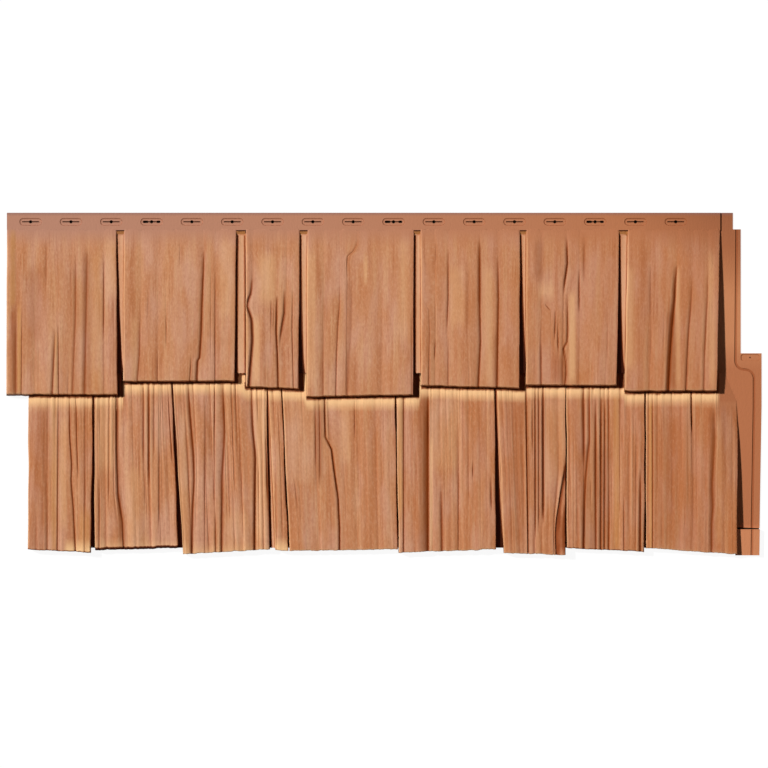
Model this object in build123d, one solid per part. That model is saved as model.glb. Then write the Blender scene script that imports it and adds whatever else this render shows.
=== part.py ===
from build123d import *
import os
from dataclasses import dataclass
from math import floor

# A two-course shake siding panel, moulded as one thin-walled piece with a hollow back.
# Lengths are in millimetres. The panel is drawn from its lower left corner, with X along the
# courses, Y up the wall and Z out of it, and is centred on its own footprint at the end.

# Moulding
wall = 2.2                   # thickness of the moulded skin
side_draft = 0.05            # sideways run of a shake's side for each millimetre of its height
upper_butt_draft = 0.19      # the same for the butt ends of the upper course
lower_butt_draft = 0.05      # the same for the butt ends of the lower course

# Heights up the wall
lock_depth = 34.0            # how far the panel below slides up behind the lower butts
lower_course_head = 253.5    # where the lower course starts, behind the upper butts
upper_course_head = 453.5    # where the upper course starts, below the nailing flange
flange_height = 23.0         # nailing flange above the upper course

# Levels out of the wall
lap_clearance = 0.5          # play over the neighbour's lap flange
lock_clearance = 0.9         # play in front of the nailing flange inside the lock
upper_floor_toe = 9.2        # keyway floor at the foot of the upper course
upper_floor_knee = 7.6       # the same floor where it turns flatter
floor_knee_height = 355.0    # height up the wall of that turn
lower_floor_head = 5.2       # keyway floor at the head of the lower course
lower_floor_toe = 10.4       # keyway floor at the foot of the lower course
lower_face_head = 5.6        # faces of the lower shakes at their heads
split_depth_head = 0.25      # depth of the splits at the head of a shake
split_depth_butt = 1.1       # depth of the splits at its butt
crest_head = 0.25            # rounding of the faces between splits, at the head
swell = 1.8                  # how much a shake's face swells out between butt and head
swell_share = 0.45           # share of its height from the butt at which it swells most

# Right end
lap_width = 28.8             # flange that the next panel's upper course covers
lap_step = 17.9              # what is left of it beside the nailing flange
ear_height = 281.0           # top of the wider lap flange beside the lower course
ear_width = 34.7             # from the lower course's right edge to the ear's outer edge
ear_taper_height = 208.0     # below this the ear narrows
ear_taper = 3.4              # how much it narrows
ear_pad_length = 26.0
ear_pad_height = 9.6
ear_pad_margin = 3.0         # pad to the ear's outer edge
ear_pilot_radius = 1.1
foot_slit_inner = 2.6        # gap above the ear's raised foot, at the shake
foot_slit_outer = 1.2        # the same gap at the ear's edge
drain_width = 3.4
drain_depth = 1.2
drain_margin = 7.4           # drain groove to the lap flange's edge, at the groove's foot
drain_lean = 1.6             # how much nearer to the edge its head is
drain_ear_margin = 10.6      # drain groove to the ear's edge
drain_level = 260.0          # where the groove crosses from the lap flange to the ear
drain_bend_radius = 12.0

# Left end
lower_inset = 30.3           # the lower course starts this far in from the upper one
lap_cover = 26.0             # length of the left end that lies over the neighbour

# Nail slots
slot_first = 33.0            # left edge to the middle of the first slot
slot_pitch = 56.1
slot_drop = 12.6             # top edge to the middle of the slots
slot_length = 24.5
slot_width = 2.2
slot_eye_radius = 2.3        # round hole in the middle of each slot
locating_slots = (3, 9, 14)  # counted from the left, from zero
locating_width = 3.4         # wider ends of the locating slots
locating_left = 8.0
locating_right = 5.6
pad_length = 31.0            # sunk pad round each slot
pad_height = 10.4
pad_depth = 0.9

# Back
rib_thickness = 1.8
rib_every = 2                # one upright rib for so many nail slots
cross_rib_height = 345.0     # level rib across the back of the upper course
tab_length = 42.0            # lock tabs, which hold the panel below
tab_thickness = 2.0
tab_reach = 18.0             # how far they reach down from the lock's shoulder

CUT = 1.0                    # how far a cut runs past the surface that it opens
UNDER = -8.0                 # level behind the wall plane that shakes and hollows are drawn from


@dataclass(frozen=True)
class Shake:
    """One shake of a course. Its splits are shares of its width, from the left."""

    width: float             # across the butt
    keyway: float            # gap to the next shake at the butt
    head_keyway: float       # the same gap at the head
    lean: float              # how far the gap's head stands to the right of its foot
    butt: float              # left corner of the butt above the panel's foot
    skew: float              # how much higher the right corner is
    rise: float              # butt's face out of the wall
    splits: tuple            # where the face is split
    crests: tuple            # rounding of the face between splits, one more than the splits
    head_fall: float = 0.0   # how much lower the right corner of the head is


UPPER = (
    Shake(154.0, 8.6, 10.8, -0.6, 224.4, 0.0, 19.0,
          (0.07, 0.25, 0.58, 0.72, 0.88), (0.5, 0.7, 1.3, 0.7, 0.9, 0.6)),
    Shake(154.4, 14.4, 11.0, 0.6, 241.6, 0.8, 18.6,
          (0.14, 0.31, 0.69, 0.84), (0.6, 0.8, 1.5, 0.8, 0.7)),
    Shake(74.4, 11.6, 10.4, 1.0, 235.4, -3.0, 18.0,
          (0.12, 0.58, 0.74), (0.6, 1.2, 0.7, 0.8)),
    Shake(147.8, 11.2, 9.2, 0.2, 221.4, 2.6, 19.2,
          (0.14, 0.28, 0.41, 0.70), (0.7, 0.8, 0.7, 1.2, 1.1)),
    Shake(136.4, 9.2, 8.6, 0.8, 237.0, -3.8, 18.4,
          (0.12, 0.26, 0.60, 0.78), (0.5, 0.7, 1.3, 0.8, 0.8)),
    Shake(125.8, 11.6, 11.6, 4.2, 237.4, -0.6, 18.6,
          (0.18, 0.44, 0.60), (0.7, 1.1, 0.8, 1.2)),
    Shake(128.0, 0.0, 0.0, 5.0, 229.2, 0.4, 19.0,
          (0.26, 0.52, 0.70, 0.87), (0.9, 1.0, 0.9, 0.8, 0.6)),
)

LOWER = (
    Shake(87.0, 5.6, 2.0, 0.6, 8.8, -5.0, 19.0,
          (0.29, 0.46, 0.68), (0.8, 0.7, 0.8, 0.8)),
    Shake(115.8, 7.0, 2.0, -12.6, 7.4, 3.2, 16.6,
          (0.14, 0.30, 0.61, 0.90), (0.6, 0.7, 1.1, 1.0, 0.5)),
    Shake(119.6, 8.2, 2.0, -7.6, 1.6, 7.4, 18.6,
          (0.11, 0.27, 0.47, 0.82), (0.4, 0.7, 0.9, 1.1, 0.7)),
    Shake(18.0, 2.0, 1.8, -10.8, 8.6, -2.2, 17.2,
          (), (0.9,)),
    Shake(149.6, 2.6, 1.8, -4.0, 6.2, 2.8, 18.2,
          (0.26, 0.45, 0.62, 0.82), (0.9, 0.6, 0.8, 0.9, 0.8)),
    Shake(134.4, 11.4, 2.4, -6.2, 4.2, 4.6, 19.0,
          (0.06, 0.29, 0.43, 0.61), (0.4, 1.0, 0.6, 0.8, 1.2)),
    Shake(85.4, 2.0, 1.8, -0.2, 3.8, -3.0, 18.4,
          (0.35, 0.63, 0.85), (1.0, 0.7, 0.8, 0.5)),
    Shake(107.6, 2.6, 2.0, 0.4, 10.4, -4.8, 17.8,
          (0.21, 0.33, 0.48, 0.62), (0.8, 0.5, 0.6, 0.6, 1.1)),
    Shake(126.4, 0.0, 0.0, 1.2, 10.6, -8.8, 16.8,
          (0.28, 0.50, 0.73), (0.9, 0.8, 0.9, 0.9), 7.3),
)


def course_length(course):
    """Width of a course at its butts."""
    return sum(shake.width + shake.keyway for shake in course)


# What follows from the sizes above
flange_standoff = wall + lap_clearance
flange_front = flange_standoff + wall
lock_front = flange_front + lock_clearance
foot_front = lock_front + wall
shoulder_top = lock_depth + wall
floor_join = lower_course_head + wall
nailing_foot = upper_course_head + wall
lower_toe = max(shake.butt + max(shake.skew, 0.0) for shake in LOWER)
panel_height = upper_course_head + flange_height
upper_right = course_length(UPPER)
lower_right = lower_inset + course_length(LOWER)
upper_head_right = upper_right + UPPER[-1].lean
lap_right = upper_head_right + lap_width
ear_right = lower_right + ear_width
rib_top = flange_front + max(shake.rise for shake in UPPER + LOWER)
slot_count = 1 + floor((upper_head_right - slot_first - pad_length / 2) / slot_pitch)
slots_x = [slot_first + slot_pitch * i for i in range(slot_count)]
slots_y = panel_height - slot_drop
ribs_x = [x + slot_pitch / 2 for x in slots_x[::rib_every] if x + slot_pitch / 2 < upper_right - wall]
tabs_x = [(left + right) / 2 for left, right in zip(ribs_x, ribs_x[1:])]


def box(x0, x1, y0, y1, z0, z1):
    """A block between two corners."""
    return Solid.make_box(x1 - x0, y1 - y0, z1 - z0).moved(Location((x0, y0, z0)))


def plate(face, z0, z1):
    """A plate with a face's outline."""
    return extrude(face, z1 - z0, dir=(0, 0, 1)).moved(Location((0, 0, z0)))


def outline(*corners):
    """A flat face with these corners."""
    return make_face(Polyline(*corners, close=True))


def shake_section(x_left, x_right, splits_x, heights, crests, base, place, rounded):
    """Outline across a shake: flat base, drafted sides, and a face that stands out between splits."""
    points = list(zip([x_left, *splits_x, x_right], heights))
    edges = []
    for (xa, za), (xb, zb), crest in zip(points, points[1:], crests):
        start, end = place(xa, za), place(xb, zb)
        middle = place((xa + xb) / 2, (za + zb) / 2 + crest)
        if rounded:
            edges.append(Edge.make_three_point_arc(start, middle, end))
        else:
            edges += [Edge.make_line(start, middle), Edge.make_line(middle, end)]
    low_left = place(x_left - side_draft * (heights[0] - base), base)
    low_right = place(x_right + side_draft * (heights[-1] - base), base)
    edges.append(Edge.make_line(place(*points[-1]), low_right))
    edges.append(Edge.make_line(low_right, low_left))
    edges.append(Edge.make_line(low_left, place(*points[0])))
    return Wire(edges)


def shake_blocks(course, x_start, y_head, z_head, butt_draft, inset, base):
    """A course as solid wedges from the butts to the heads, or as the hollows an inset inside them."""
    blocks = []
    rounded = inset == 0
    left, head_left = x_start, x_start
    for shake in course:
        right = left + shake.width
        gap_middle = right + shake.keyway / 2 + shake.lean
        head_right = gap_middle - shake.head_keyway / 2
        shares = [0.0, *shake.splits, 1.0]
        inner = [0 < share < 1 for share in shares]
        butt_z = [shake.rise - inset - split_depth_butt * is_split for is_split in inner]
        head_z = [z_head - inset - split_depth_head * is_split for is_split in inner]
        head_z[-1] -= shake.head_fall
        head_crests = [min(crest_head, crest) for crest in shake.crests]

        def butt_place(x, z, left=left, shake=shake):
            slope = shake.skew / shake.width
            run = butt_draft * (shake.rise - z)
            return Vector(x, shake.butt + inset + slope * (x - left) - run, z)

        def level_place(y):
            return lambda x, z: Vector(x, y, z)

        def section(up, extra, place, ends=(left, right, head_left, head_right)):
            x_left = ends[0] + up * (ends[2] - ends[0])
            x_right = ends[1] + up * (ends[3] - ends[1])
            splits_x = [x_left + (x_right - x_left) * share for share in shares[1:-1]]
            heights = [low + up * (high - low) + extra for low, high in zip(butt_z, head_z)]
            crests = [low + up * (high - low) for low, high in zip(shake.crests, head_crests)]
            x_left, x_right = x_left + inset, x_right - inset
            return shake_section(x_left, x_right, splits_x, heights, crests, base, place, rounded)

        blocks.append(Solid.make_loft([
            section(0.0, 0.0, butt_place),
            section(swell_share, swell, level_place(shake.butt + swell_share * (y_head - shake.butt))),
            section(1.0, 0.0, level_place(y_head)),
        ], ruled=True))
        left = right + shake.keyway
        head_left = gap_middle + shake.head_keyway / 2
    return blocks


def sloping_block(x0, x1, slope, base):
    """A block whose front follows a slope, given as (height up the wall, level) from the toe to the head."""
    (y_toe, _), (y_head, _) = slope[0], slope[-1]
    front = [(x0, y, z) for y, z in slope]
    profile = Polyline((x0, y_toe, base), *front, (x0, y_head, base), close=True)
    return extrude(make_face(profile), x1 - x0, dir=(1, 0, 0))


def keyway_floors(margin, depth, join, base):
    """The floors between the shakes of both courses, a margin inside their sides and a depth behind.
    Each ends inside the last shake of its course."""
    upper = [(join, upper_floor_toe), (floor_knee_height, upper_floor_knee), (upper_course_head, wall)]
    lower = [(lower_toe + depth, lower_floor_toe), (join, lower_floor_head)]
    upper_end = upper_right - UPPER[-1].width + 2 * margin
    lower_end = lower_right - LOWER[-1].width + 2 * margin
    return [
        sloping_block(margin, upper_end, [(y, z - depth) for y, z in upper], base),
        sloping_block(lower_inset + margin, lower_end, [(y, z - depth) for y, z in lower], base),
    ]


def lap_flange():
    """Thin flange at the right end, which the next panel covers: a strip, and an ear below it."""
    inner = upper_right - 2 * wall
    face = outline(
        (inner, panel_height),
        (upper_head_right + lap_step, panel_height),
        (upper_head_right + lap_step, upper_course_head),
        (lap_right, upper_course_head),
        (lap_right, ear_height),
        (ear_right, ear_height),
        (ear_right, ear_taper_height),
        (ear_right - ear_taper, 0.0),
        (inner, 0.0),
    )
    return plate(face, 0.0, wall)


def ear_foot():
    """Raised foot of the ear, with room behind it for the nailing flange of the panel below."""
    face = outline(
        (lower_right - wall, 0.0),
        (ear_right - ear_taper, 0.0),
        (ear_right - ear_taper * (1 - shoulder_top / ear_taper_height), shoulder_top),
        (lower_right - wall, shoulder_top),
    )
    return plate(face, 0.0, foot_front)


def front_form():
    """The panel's front, filled down to the wall plane."""
    upper = shake_blocks(UPPER, 0.0, upper_course_head, flange_front, upper_butt_draft, 0.0, UNDER)
    lower = shake_blocks(LOWER, lower_inset, lower_course_head, lower_face_head, lower_butt_draft, 0.0, UNDER)
    form = Part() + [
        *upper,
        *lower,
        *keyway_floors(wall / 2, 0.0, lower_course_head, 0.0),
        box(0.0, upper_head_right, upper_course_head, panel_height, 0.0, flange_front),
        lap_flange(),
        ear_foot(),
    ]
    margin = 2 * CUT
    return form - box(-margin, ear_right, -margin, panel_height, UNDER - CUT, 0.0)


def back_hollow():
    """What is taken out from behind, with the ribs left standing in it."""
    upper = shake_blocks(UPPER, 0.0, upper_course_head, flange_front, upper_butt_draft, wall, UNDER)
    lower = shake_blocks(LOWER, lower_inset, floor_join, lower_face_head, lower_butt_draft, wall, UNDER)
    hollow = Part() + [
        *upper,
        *lower,
        *keyway_floors(wall, wall, floor_join, UNDER),
        box(-CUT, upper_head_right - wall, nailing_foot, panel_height + CUT, UNDER, flange_standoff),
    ]
    return hollow - back_ribs()


def back_ribs():
    """Upright ribs, one level rib, the lock's shoulder, and the wall at the head of the lower course
    beside the upper one, as stock that the front trims."""
    half = rib_thickness / 2
    level, shoulder_left = cross_rib_height, lower_inset + lap_cover
    stock = [box(x - half, x + half, lock_depth, panel_height, UNDER, rib_top) for x in ribs_x]
    stock += [box(x - half, x + half, 0.0, lock_depth, lock_front, rib_top) for x in ribs_x]
    stock.append(box(lap_cover, upper_right, level - half, level + half, UNDER, rib_top))
    stock.append(box(shoulder_left, lower_right, lock_depth, shoulder_top, UNDER, rib_top))
    low, high = lower_course_head - wall, floor_join + CUT
    stock.append(box(upper_right - wall, lower_right, low, high, UNDER, rib_top))
    return stock


def lock_channel():
    """Channel that the nailing flange of the panel below slides up into, behind the lower butts."""
    half, foot = tab_length / 2, lock_depth - tab_reach
    tabs = [box(x - half, x + half, foot, lock_depth + CUT, 0.0, tab_thickness) for x in tabs_x]
    return box(-CUT, ear_right + CUT, -CUT, lock_depth, -CUT, lock_front) - tabs


def lap_recesses():
    """Room under the left end for the neighbour's lap flange, ear and raised foot."""
    step = lower_inset + lap_cover
    foot_room = foot_front + lap_clearance
    return [
        box(-2 * CUT, lap_cover, lower_course_head - wall, panel_height + CUT, -CUT, flange_standoff),
        box(-2 * CUT, step, lock_depth, lower_course_head, -CUT, flange_standoff),
        box(lower_inset - 2 * CUT, step, -CUT, shoulder_top + lap_clearance, -CUT, foot_room),
    ]


def nail_slots():
    """A sunk pad and a slot with a round eye for each nail. A few slots have wider ends."""
    half = slot_length / 2
    cuts = []
    for i, x in enumerate(slots_x):
        centre = Pos(x, slots_y)
        pad = centre * SlotOverall(pad_length, pad_height)
        hole = centre * SlotOverall(slot_length, slot_width) + centre * Circle(slot_eye_radius)
        if i in locating_slots:
            hole += Pos(x - half + locating_left / 2, slots_y) * SlotOverall(locating_left, locating_width)
            hole += Pos(x + half - locating_right / 2, slots_y) * SlotOverall(locating_right, locating_width)
        cuts.append(plate(pad, flange_front - pad_depth, flange_front + CUT))
        cuts.append(plate(hole, -CUT, flange_front + CUT))
    return cuts


def ear_details():
    """The ear's sunk pad with its pilot mark, and the slit above its raised foot."""
    middle = Pos(ear_right - ear_pad_margin - ear_pad_length / 2, ear_height - wall / 2 - ear_pad_height / 2)
    pad = middle * RectangleRounded(ear_pad_length, ear_pad_height, ear_pad_height / 3)
    slit = outline(
        (lower_right + wall / 2, shoulder_top),
        (ear_right + CUT, shoulder_top),
        (ear_right + CUT, shoulder_top + foot_slit_outer),
        (lower_right + wall / 2, shoulder_top + foot_slit_inner),
    )
    return [
        plate(pad, wall - pad_depth, wall + CUT),
        plate(middle * Circle(ear_pilot_radius), wall - 2 * pad_depth, wall),
        plate(slit, -CUT, wall + CUT),
    ]


def drain_groove():
    """Groove that drains the lap: down the lap flange, across to the ear, and down to its foot."""
    lap_x = lap_right - drain_margin
    ear_x = ear_right - drain_ear_margin
    line = FilletPolyline(
        (lap_x + drain_lean, upper_course_head + CUT),
        (lap_x, drain_level),
        (ear_x, drain_level - drain_width),
        (ear_x, ear_taper_height),
        (ear_x - ear_taper, -CUT),
        radius=drain_bend_radius,
    )
    groove = trace(line, drain_width)
    on_flange = plate(groove, wall - drain_depth, wall + CUT) - ear_foot()
    on_foot = plate(groove, foot_front - drain_depth, foot_front + CUT)
    return [on_flange, on_foot]


def build_panel():
    """The finished panel, centred on its footprint."""
    panel = front_form() - back_hollow() - [
        lock_channel(),
        *lap_recesses(),
        *nail_slots(),
        *ear_details(),
        *drain_groove(),
    ]
    size = panel.bounding_box()
    return panel.solid().moved(Location((-(size.min.X + size.max.X) / 2, -(size.min.Y + size.max.Y) / 2, 0)))


panel = build_panel()
os.makedirs("parts", exist_ok=True)
export_step(panel, "parts/panel.step")
print(panel.is_valid, panel.volume, panel.bounding_box())
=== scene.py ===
"""A two-course shake siding panel of moulded polypropylene, lying face up on a white floor.

The panel is one moulding, so it is one piece of the scene. Its faces are grids whose columns follow the wood
grain, and its flanges, slots, lock and hollow back are united with them and cut from them. Sizes are in
millimetres from the panel's lower left corner, with X along the courses, Y up the wall and Z out of it.
"""

import logging
import math
from collections.abc import Iterable, Sequence
from dataclasses import dataclass, field
from enum import Enum

import bpy
import numpy as np
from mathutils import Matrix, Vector

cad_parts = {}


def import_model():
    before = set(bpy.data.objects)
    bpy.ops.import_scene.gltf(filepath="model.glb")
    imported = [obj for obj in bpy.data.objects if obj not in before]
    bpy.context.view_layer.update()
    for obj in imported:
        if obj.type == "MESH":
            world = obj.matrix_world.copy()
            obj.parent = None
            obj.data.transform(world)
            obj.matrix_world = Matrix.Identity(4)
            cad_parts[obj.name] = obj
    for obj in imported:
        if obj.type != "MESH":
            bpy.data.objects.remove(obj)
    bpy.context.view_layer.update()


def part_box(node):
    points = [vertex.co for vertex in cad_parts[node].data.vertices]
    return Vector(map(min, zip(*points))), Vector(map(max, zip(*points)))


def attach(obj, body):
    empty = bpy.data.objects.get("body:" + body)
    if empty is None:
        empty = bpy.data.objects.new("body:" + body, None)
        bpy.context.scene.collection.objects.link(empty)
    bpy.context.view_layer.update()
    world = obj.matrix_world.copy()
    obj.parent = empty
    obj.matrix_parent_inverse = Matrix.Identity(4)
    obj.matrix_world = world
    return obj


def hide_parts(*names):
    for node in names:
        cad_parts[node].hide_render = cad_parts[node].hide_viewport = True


LOG = logging.getLogger("siding panel")
MILLIMETRE = 0.001

Point = tuple[float, float]
Corner = tuple[float, float, float]
Array = np.ndarray
Tree = bpy.types.NodeTree
Socket = bpy.types.NodeSocket

OPEN_END = 16.0  # a groove that ends nearer to the butt than this runs out of it
GROOVE_HEAD = (0.45, 40.0)  # share of a groove's length over which it deepens at its head, and the most
GROOVE_FOOT = (0.3, 25.0)  # the same at its foot
DEEP_GROOVE = 1.6  # depth at which the brown beside a groove, partly a painted shade, is at its strongest
HALO = 0.65  # how strong that is
HALO_WIDTH = 2.4  # how far it reaches beyond the groove
CALM_REACH = 8.0  # how far beside a groove the grain still bends with it
STREAK_FADE = 16.0  # how far the ends of a streak fade out
HAIR = 0.01  # what keeps two points apart


class Tone(Enum):
    """Colour that a streak of the moulding leans to."""

    RED = "red"
    OCHRE = "ochre"
    BROWN = "brown"
    DARK = "dark"
    CREAM = "cream"


RED, OCHRE, BROWN, DARK, CREAM = Tone


def line_at(line: Sequence[Point], y: Array | float) -> Array:
    """Where a line that runs down is at each height, held at its ends."""
    places, heights = zip(*reversed(line))
    return np.interp(y, heights, places)


def smooth_step(share: Array) -> Array:
    """A share from 0 to 1 that starts and ends gently."""
    return (3 - 2 * share) * share**2


@dataclass(frozen=True)
class Groove:
    """A split or flute in a shake's face. Its line runs down the face, and follows the grain."""

    line: tuple[Point, ...]
    depth: float = 0.8
    left: float = 1.3  # width of the wall on the left of the line
    right: float = 1.3  # width of the wall on its right

    def span(self) -> Point:
        """Lowest and highest point of the line."""
        return self.line[-1][1], self.line[0][1]

    def brown(self) -> float:
        """How brown the groove and the face beside it are, from 0 to 1, partly as painted shade."""
        return min(1.0, self.depth / DEEP_GROOVE) * HALO

    def shape(self, x: Array, y: Array, y_butt: Array, wider: float = 0.0) -> Array:
        """Share of the groove's depth at each place.

        Args:
            x: Places along the panel.
            y: Heights up the panel.
            y_butt: Height of the shake's butt below each place.
            wider: How much wider than the groove each of its walls is taken.

        Returns:
            One on the groove's line, and zero outside its walls.
        """
        low, high = self.span()
        aside = x - line_at(self.line, y)
        wall = np.where(aside < 0, 1 + aside / (self.left + wider), 1 - aside / (self.right + wider))
        wall = np.clip(wall, 0, 1)
        shape = smooth_step(wall) * 0.5 + wall * 0.5
        length = high - low
        head = np.clip((high - y) / min(GROOVE_HEAD[0] * length, GROOVE_HEAD[1]), 0, 1)
        foot = np.clip((y - low) / min(GROOVE_FOOT[0] * length, GROOVE_FOOT[1]), 0, 1)
        foot = np.where(low - y_butt < OPEN_END, 1.0, foot)
        return shape * np.sqrt(head) * foot


@dataclass(frozen=True)
class Streak:
    """A soft band of the face whose colour leans to one tone."""

    x: Point
    y: Point
    tone: Tone
    strength: float = 0.6
    soft: float = 1.5  # how far its sides fade out

    def weight(self, x: Array, y: Array) -> Array:
        """How much of the streak is seen.

        Args:
            x: Places along the panel.
            y: Heights up the panel.

        Returns:
            Its strength at each place, from 0 to 1.
        """
        across = np.clip(np.minimum(x - self.x[0], self.x[1] - x) / self.soft + 0.5, 0, 1)
        along = np.clip(np.minimum(y - self.y[0], self.y[1] - y) / STREAK_FADE + 0.5, 0, 1)
        return across * along * self.strength


@dataclass(frozen=True)
class Shake:
    """One shake of a course. Its splits are shares of its width, from the left."""

    width: float  # across the butt
    keyway: float  # gap to the next shake at the butt
    head_keyway: float  # the same gap at the head
    lean: float  # how far the gap's head stands to the right of its foot
    butt: float  # left corner of the butt above the panel's foot
    skew: float  # how much higher the right corner is
    rise: float  # butt's face out of the wall
    splits: tuple[float, ...]
    crests: tuple[float, ...]  # how far the face is crowned between them
    grooves: tuple[Groove, ...] = ()
    streaks: tuple[Streak, ...] = ()
    head_fall: float = 0.0  # how much lower the right corner of the head is
    rough: float = 1.0  # how rough its grain is, as a share of the course's
    stain_and_shade: Point = (12.0, 2.4)  # width of the painted shadow in the gap beside it, at the foot and the head
    raised: Point = (0.0, 0.0)  # how far the gap's floor is raised at the foot and half way up
    patch: float = 8.0  # width of the painted shadow patch at that gap's foot
    foot_line: Point = (0.0, 0.0)  # painted shade along the edge of the butt, as a depth in mm, and its width
    plain_corner: Point | None = None  # right of and above this the face is plain


@dataclass(frozen=True)
class Relief:
    """How rough the wood grain of a course is."""

    spacing: float  # between the columns of the face
    waves: float  # height of the broad waves across the face
    ripples: float  # height of the narrower ones
    lines: float  # fine grooves for each 100 mm of width
    line_depth: float
    line_length: Point  # shortest and longest of them, as shares of the face's height
    calm: float  # share of the height at the head over which the grain comes up
    ragged: float  # how uneven the butt's edge is
    wander: float  # how far the sides stray from straight


@dataclass(frozen=True)
class PanelSizes:
    """Sizes that the courses, the flanges and the back share."""

    wall: float = 2.2
    lap_clearance: float = 0.5
    lock_clearance: float = 0.9
    lock_depth: float = 34.0
    lower_head: float = 253.5
    upper_head: float = 453.5
    flange_height: float = 23.0
    flange_overlap: float = 1.2  # how far the nailing flange runs in behind the heads of the shakes
    lower_inset: float = 30.3
    lap_cover: float = 26.0
    upper_right: float = 987.4
    upper_head_right: float = 992.4
    lower_right: float = 1015.5
    lap_width: float = 28.8
    ear_width: float = 34.7

    @property
    def height(self) -> float:
        """Whole height of the panel."""
        return self.upper_head + self.flange_height

    @property
    def flange_back(self) -> float:
        """Back of the nailing flange."""
        return self.wall + self.lap_clearance

    @property
    def flange_front(self) -> float:
        """Front of the nailing flange."""
        return self.flange_back + self.wall

    @property
    def lock_front(self) -> float:
        """Front of the channel that holds the panel below."""
        return self.flange_front + self.lock_clearance

    @property
    def foot_front(self) -> float:
        """Front of the ear's raised foot."""
        return self.lock_front + self.wall

    @property
    def shoulder_top(self) -> float:
        """Top of the lock's shoulder."""
        return self.lock_depth + self.wall

    @property
    def floor_join(self) -> float:
        """Where the hollows of the two courses meet."""
        return self.lower_head + self.wall

    @property
    def lap_right(self) -> float:
        """Right edge of the lap flange."""
        return self.upper_head_right + self.lap_width

    @property
    def ear_right(self) -> float:
        """Right edge of the ear."""
        return self.lower_right + self.ear_width


SIZES = PanelSizes()
BASE = -8.0  # the front is filled to here, and trimmed at the wall plane afterwards
UNDER = -12.0  # the hollows are drawn from here
CUT = 1.0  # how far a cut runs past the surface that it opens
RIM_STEP = 0.03  # how much higher the rim of a sunk pad's floor is


@dataclass
class Solid:
    """A closed mesh with what its paint needs at each point."""

    points: Array
    faces: list[tuple[int, ...]]
    grain: Array  # shift of the grain, how strong it is, and how brown the band is, which beside grooves is partly painted shade
    stain_and_shade: Array  # recess darkening that is partly a stain and partly painted shade and painted shadow, lean to ochre, and painted highlight together with cream streaks

    @classmethod
    def plain(cls, points: Sequence[Corner], faces: list[tuple[int, ...]], grain: float = 0.0) -> "Solid":
        """A mesh without streaks.

        Args:
            points: Its points.
            faces: Its faces, as numbers of points.
            grain: How strong the wood grain is on it, from 0 to 1.

        Returns:
            The mesh with even paint.
        """
        count = len(points)
        marks = np.tile((0.0, grain, 0.0), (count, 1))
        return cls(np.array(points, float), faces, marks, np.zeros((count, 3)))

    def to_object(self, name: str) -> bpy.types.Object:
        """The mesh as a Blender object.

        Args:
            name: Its name.

        Returns:
            The object, in panel millimetres, with its paint at each corner of its faces.
        """
        mesh = bpy.data.meshes.new(name)
        mesh.from_pydata(self.points.tolist(), [], self.faces)
        corners = np.zeros(len(mesh.loops), np.int32)
        mesh.loops.foreach_get("vertex_index", corners)
        for label, values in (("grain", self.grain), ("stain_and_shade", self.stain_and_shade)):
            layer = mesh.attributes.new(label, "FLOAT_VECTOR", "CORNER")
            layer.data.foreach_set("vector", values[corners].astype(np.float32).ravel())
        thing = bpy.data.objects.new(name, mesh)
        bpy.context.scene.collection.objects.link(thing)
        return thing


def block(low: Corner, high: Corner, grain: float = 0.0) -> Solid:
    """A box between two corners, with grain of the given strength."""
    (x0, y0, z0), (x1, y1, z1) = low, high
    return prism([(x0, y0), (x1, y0), (x1, y1), (x0, y1)], z0, z1, grain)


def prism(outline: Sequence[Point], z0: float, z1: float, grain: float = 0.0,
          foot: Sequence[Point] | None = None) -> Solid:
    """A plate with an outline that runs anticlockwise.

    Args:
        outline: Corners seen from the front.
        z0: Back of the plate.
        z1: Front of the plate.
        grain: How strong the wood grain is on it.
        foot: The same corners at the back, where the sides slope.

    Returns:
        The closed plate.
    """
    count = len(outline)
    points = [(x, y, z0) for x, y in foot or outline] + [(x, y, z1) for x, y in outline]
    faces = [tuple(reversed(range(count))), tuple(range(count, 2 * count))]
    for i in range(count):
        j = (i + 1) % count
        faces.append((i, j, count + j, count + i))
    return Solid.plain(points, faces, grain)


def sloping_block(x: Point, slope: Sequence[Point], base: float, grain: float = 0.0) -> Solid:
    """A block whose front follows a slope.

    Args:
        x: Its left and right side.
        slope: Height up the wall and level of the front, from the toe to the head.
        base: Its back.
        grain: How strong the wood grain is on it.

    Returns:
        The closed block.
    """
    profile = [(slope[0][0], base), *slope, (slope[-1][0], base)]
    count = len(profile)
    points = [(side, y, z) for side in x for y, z in profile]
    faces = [tuple(range(count)), tuple(reversed(range(count, 2 * count)))]
    for i in range(count):
        j = (i + 1) % count
        faces.append((j, i, count + i, count + j))
    return Solid.plain(points, faces, grain)


def stadium(centre: Point, length: float, height: float, steps: int = 10) -> list[Point]:
    """Outline of a slot with round ends.

    Args:
        centre: Its middle.
        length: Its whole length.
        height: Its height.
        steps: How many runs each end has.

    Returns:
        Its corners, anticlockwise.
    """
    radius = height / 2
    reach = length / 2 - radius
    outline = []
    for side in (1, -1):
        for i in range(steps + 1):
            angle = math.pi * (i / steps - side / 2)
            outline.append((centre[0] + side * reach + radius * math.cos(angle),
                            centre[1] + radius * math.sin(angle)))
    return outline


def grain_noise(rng: np.random.Generator, across: Array, along: Array, size: Point) -> Array:
    """Random waves that are long along the grain.

    Args:
        rng: Where the random numbers come from.
        across: Place of each column in millimetres.
        along: Place of each row in millimetres.
        size: Width and length of a wave.

    Returns:
        A value from about -1 to 1 for each row and column.
    """
    columns = (across - across.min()) / size[0]
    rows = (along - along.min()) / size[1]
    lattice = rng.uniform(-1, 1, (int(rows.max()) + 2, int(columns.max()) + 2))
    row, column = rows.astype(int), columns.astype(int)
    down, side = rows - row, columns - column
    down, side = smooth_step(down), smooth_step(side)
    waves = lattice[:, column] * (1 - side) + lattice[:, column + 1] * side
    return waves[row] * (1 - down[:, None]) + waves[row + 1] * down[:, None]


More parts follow.
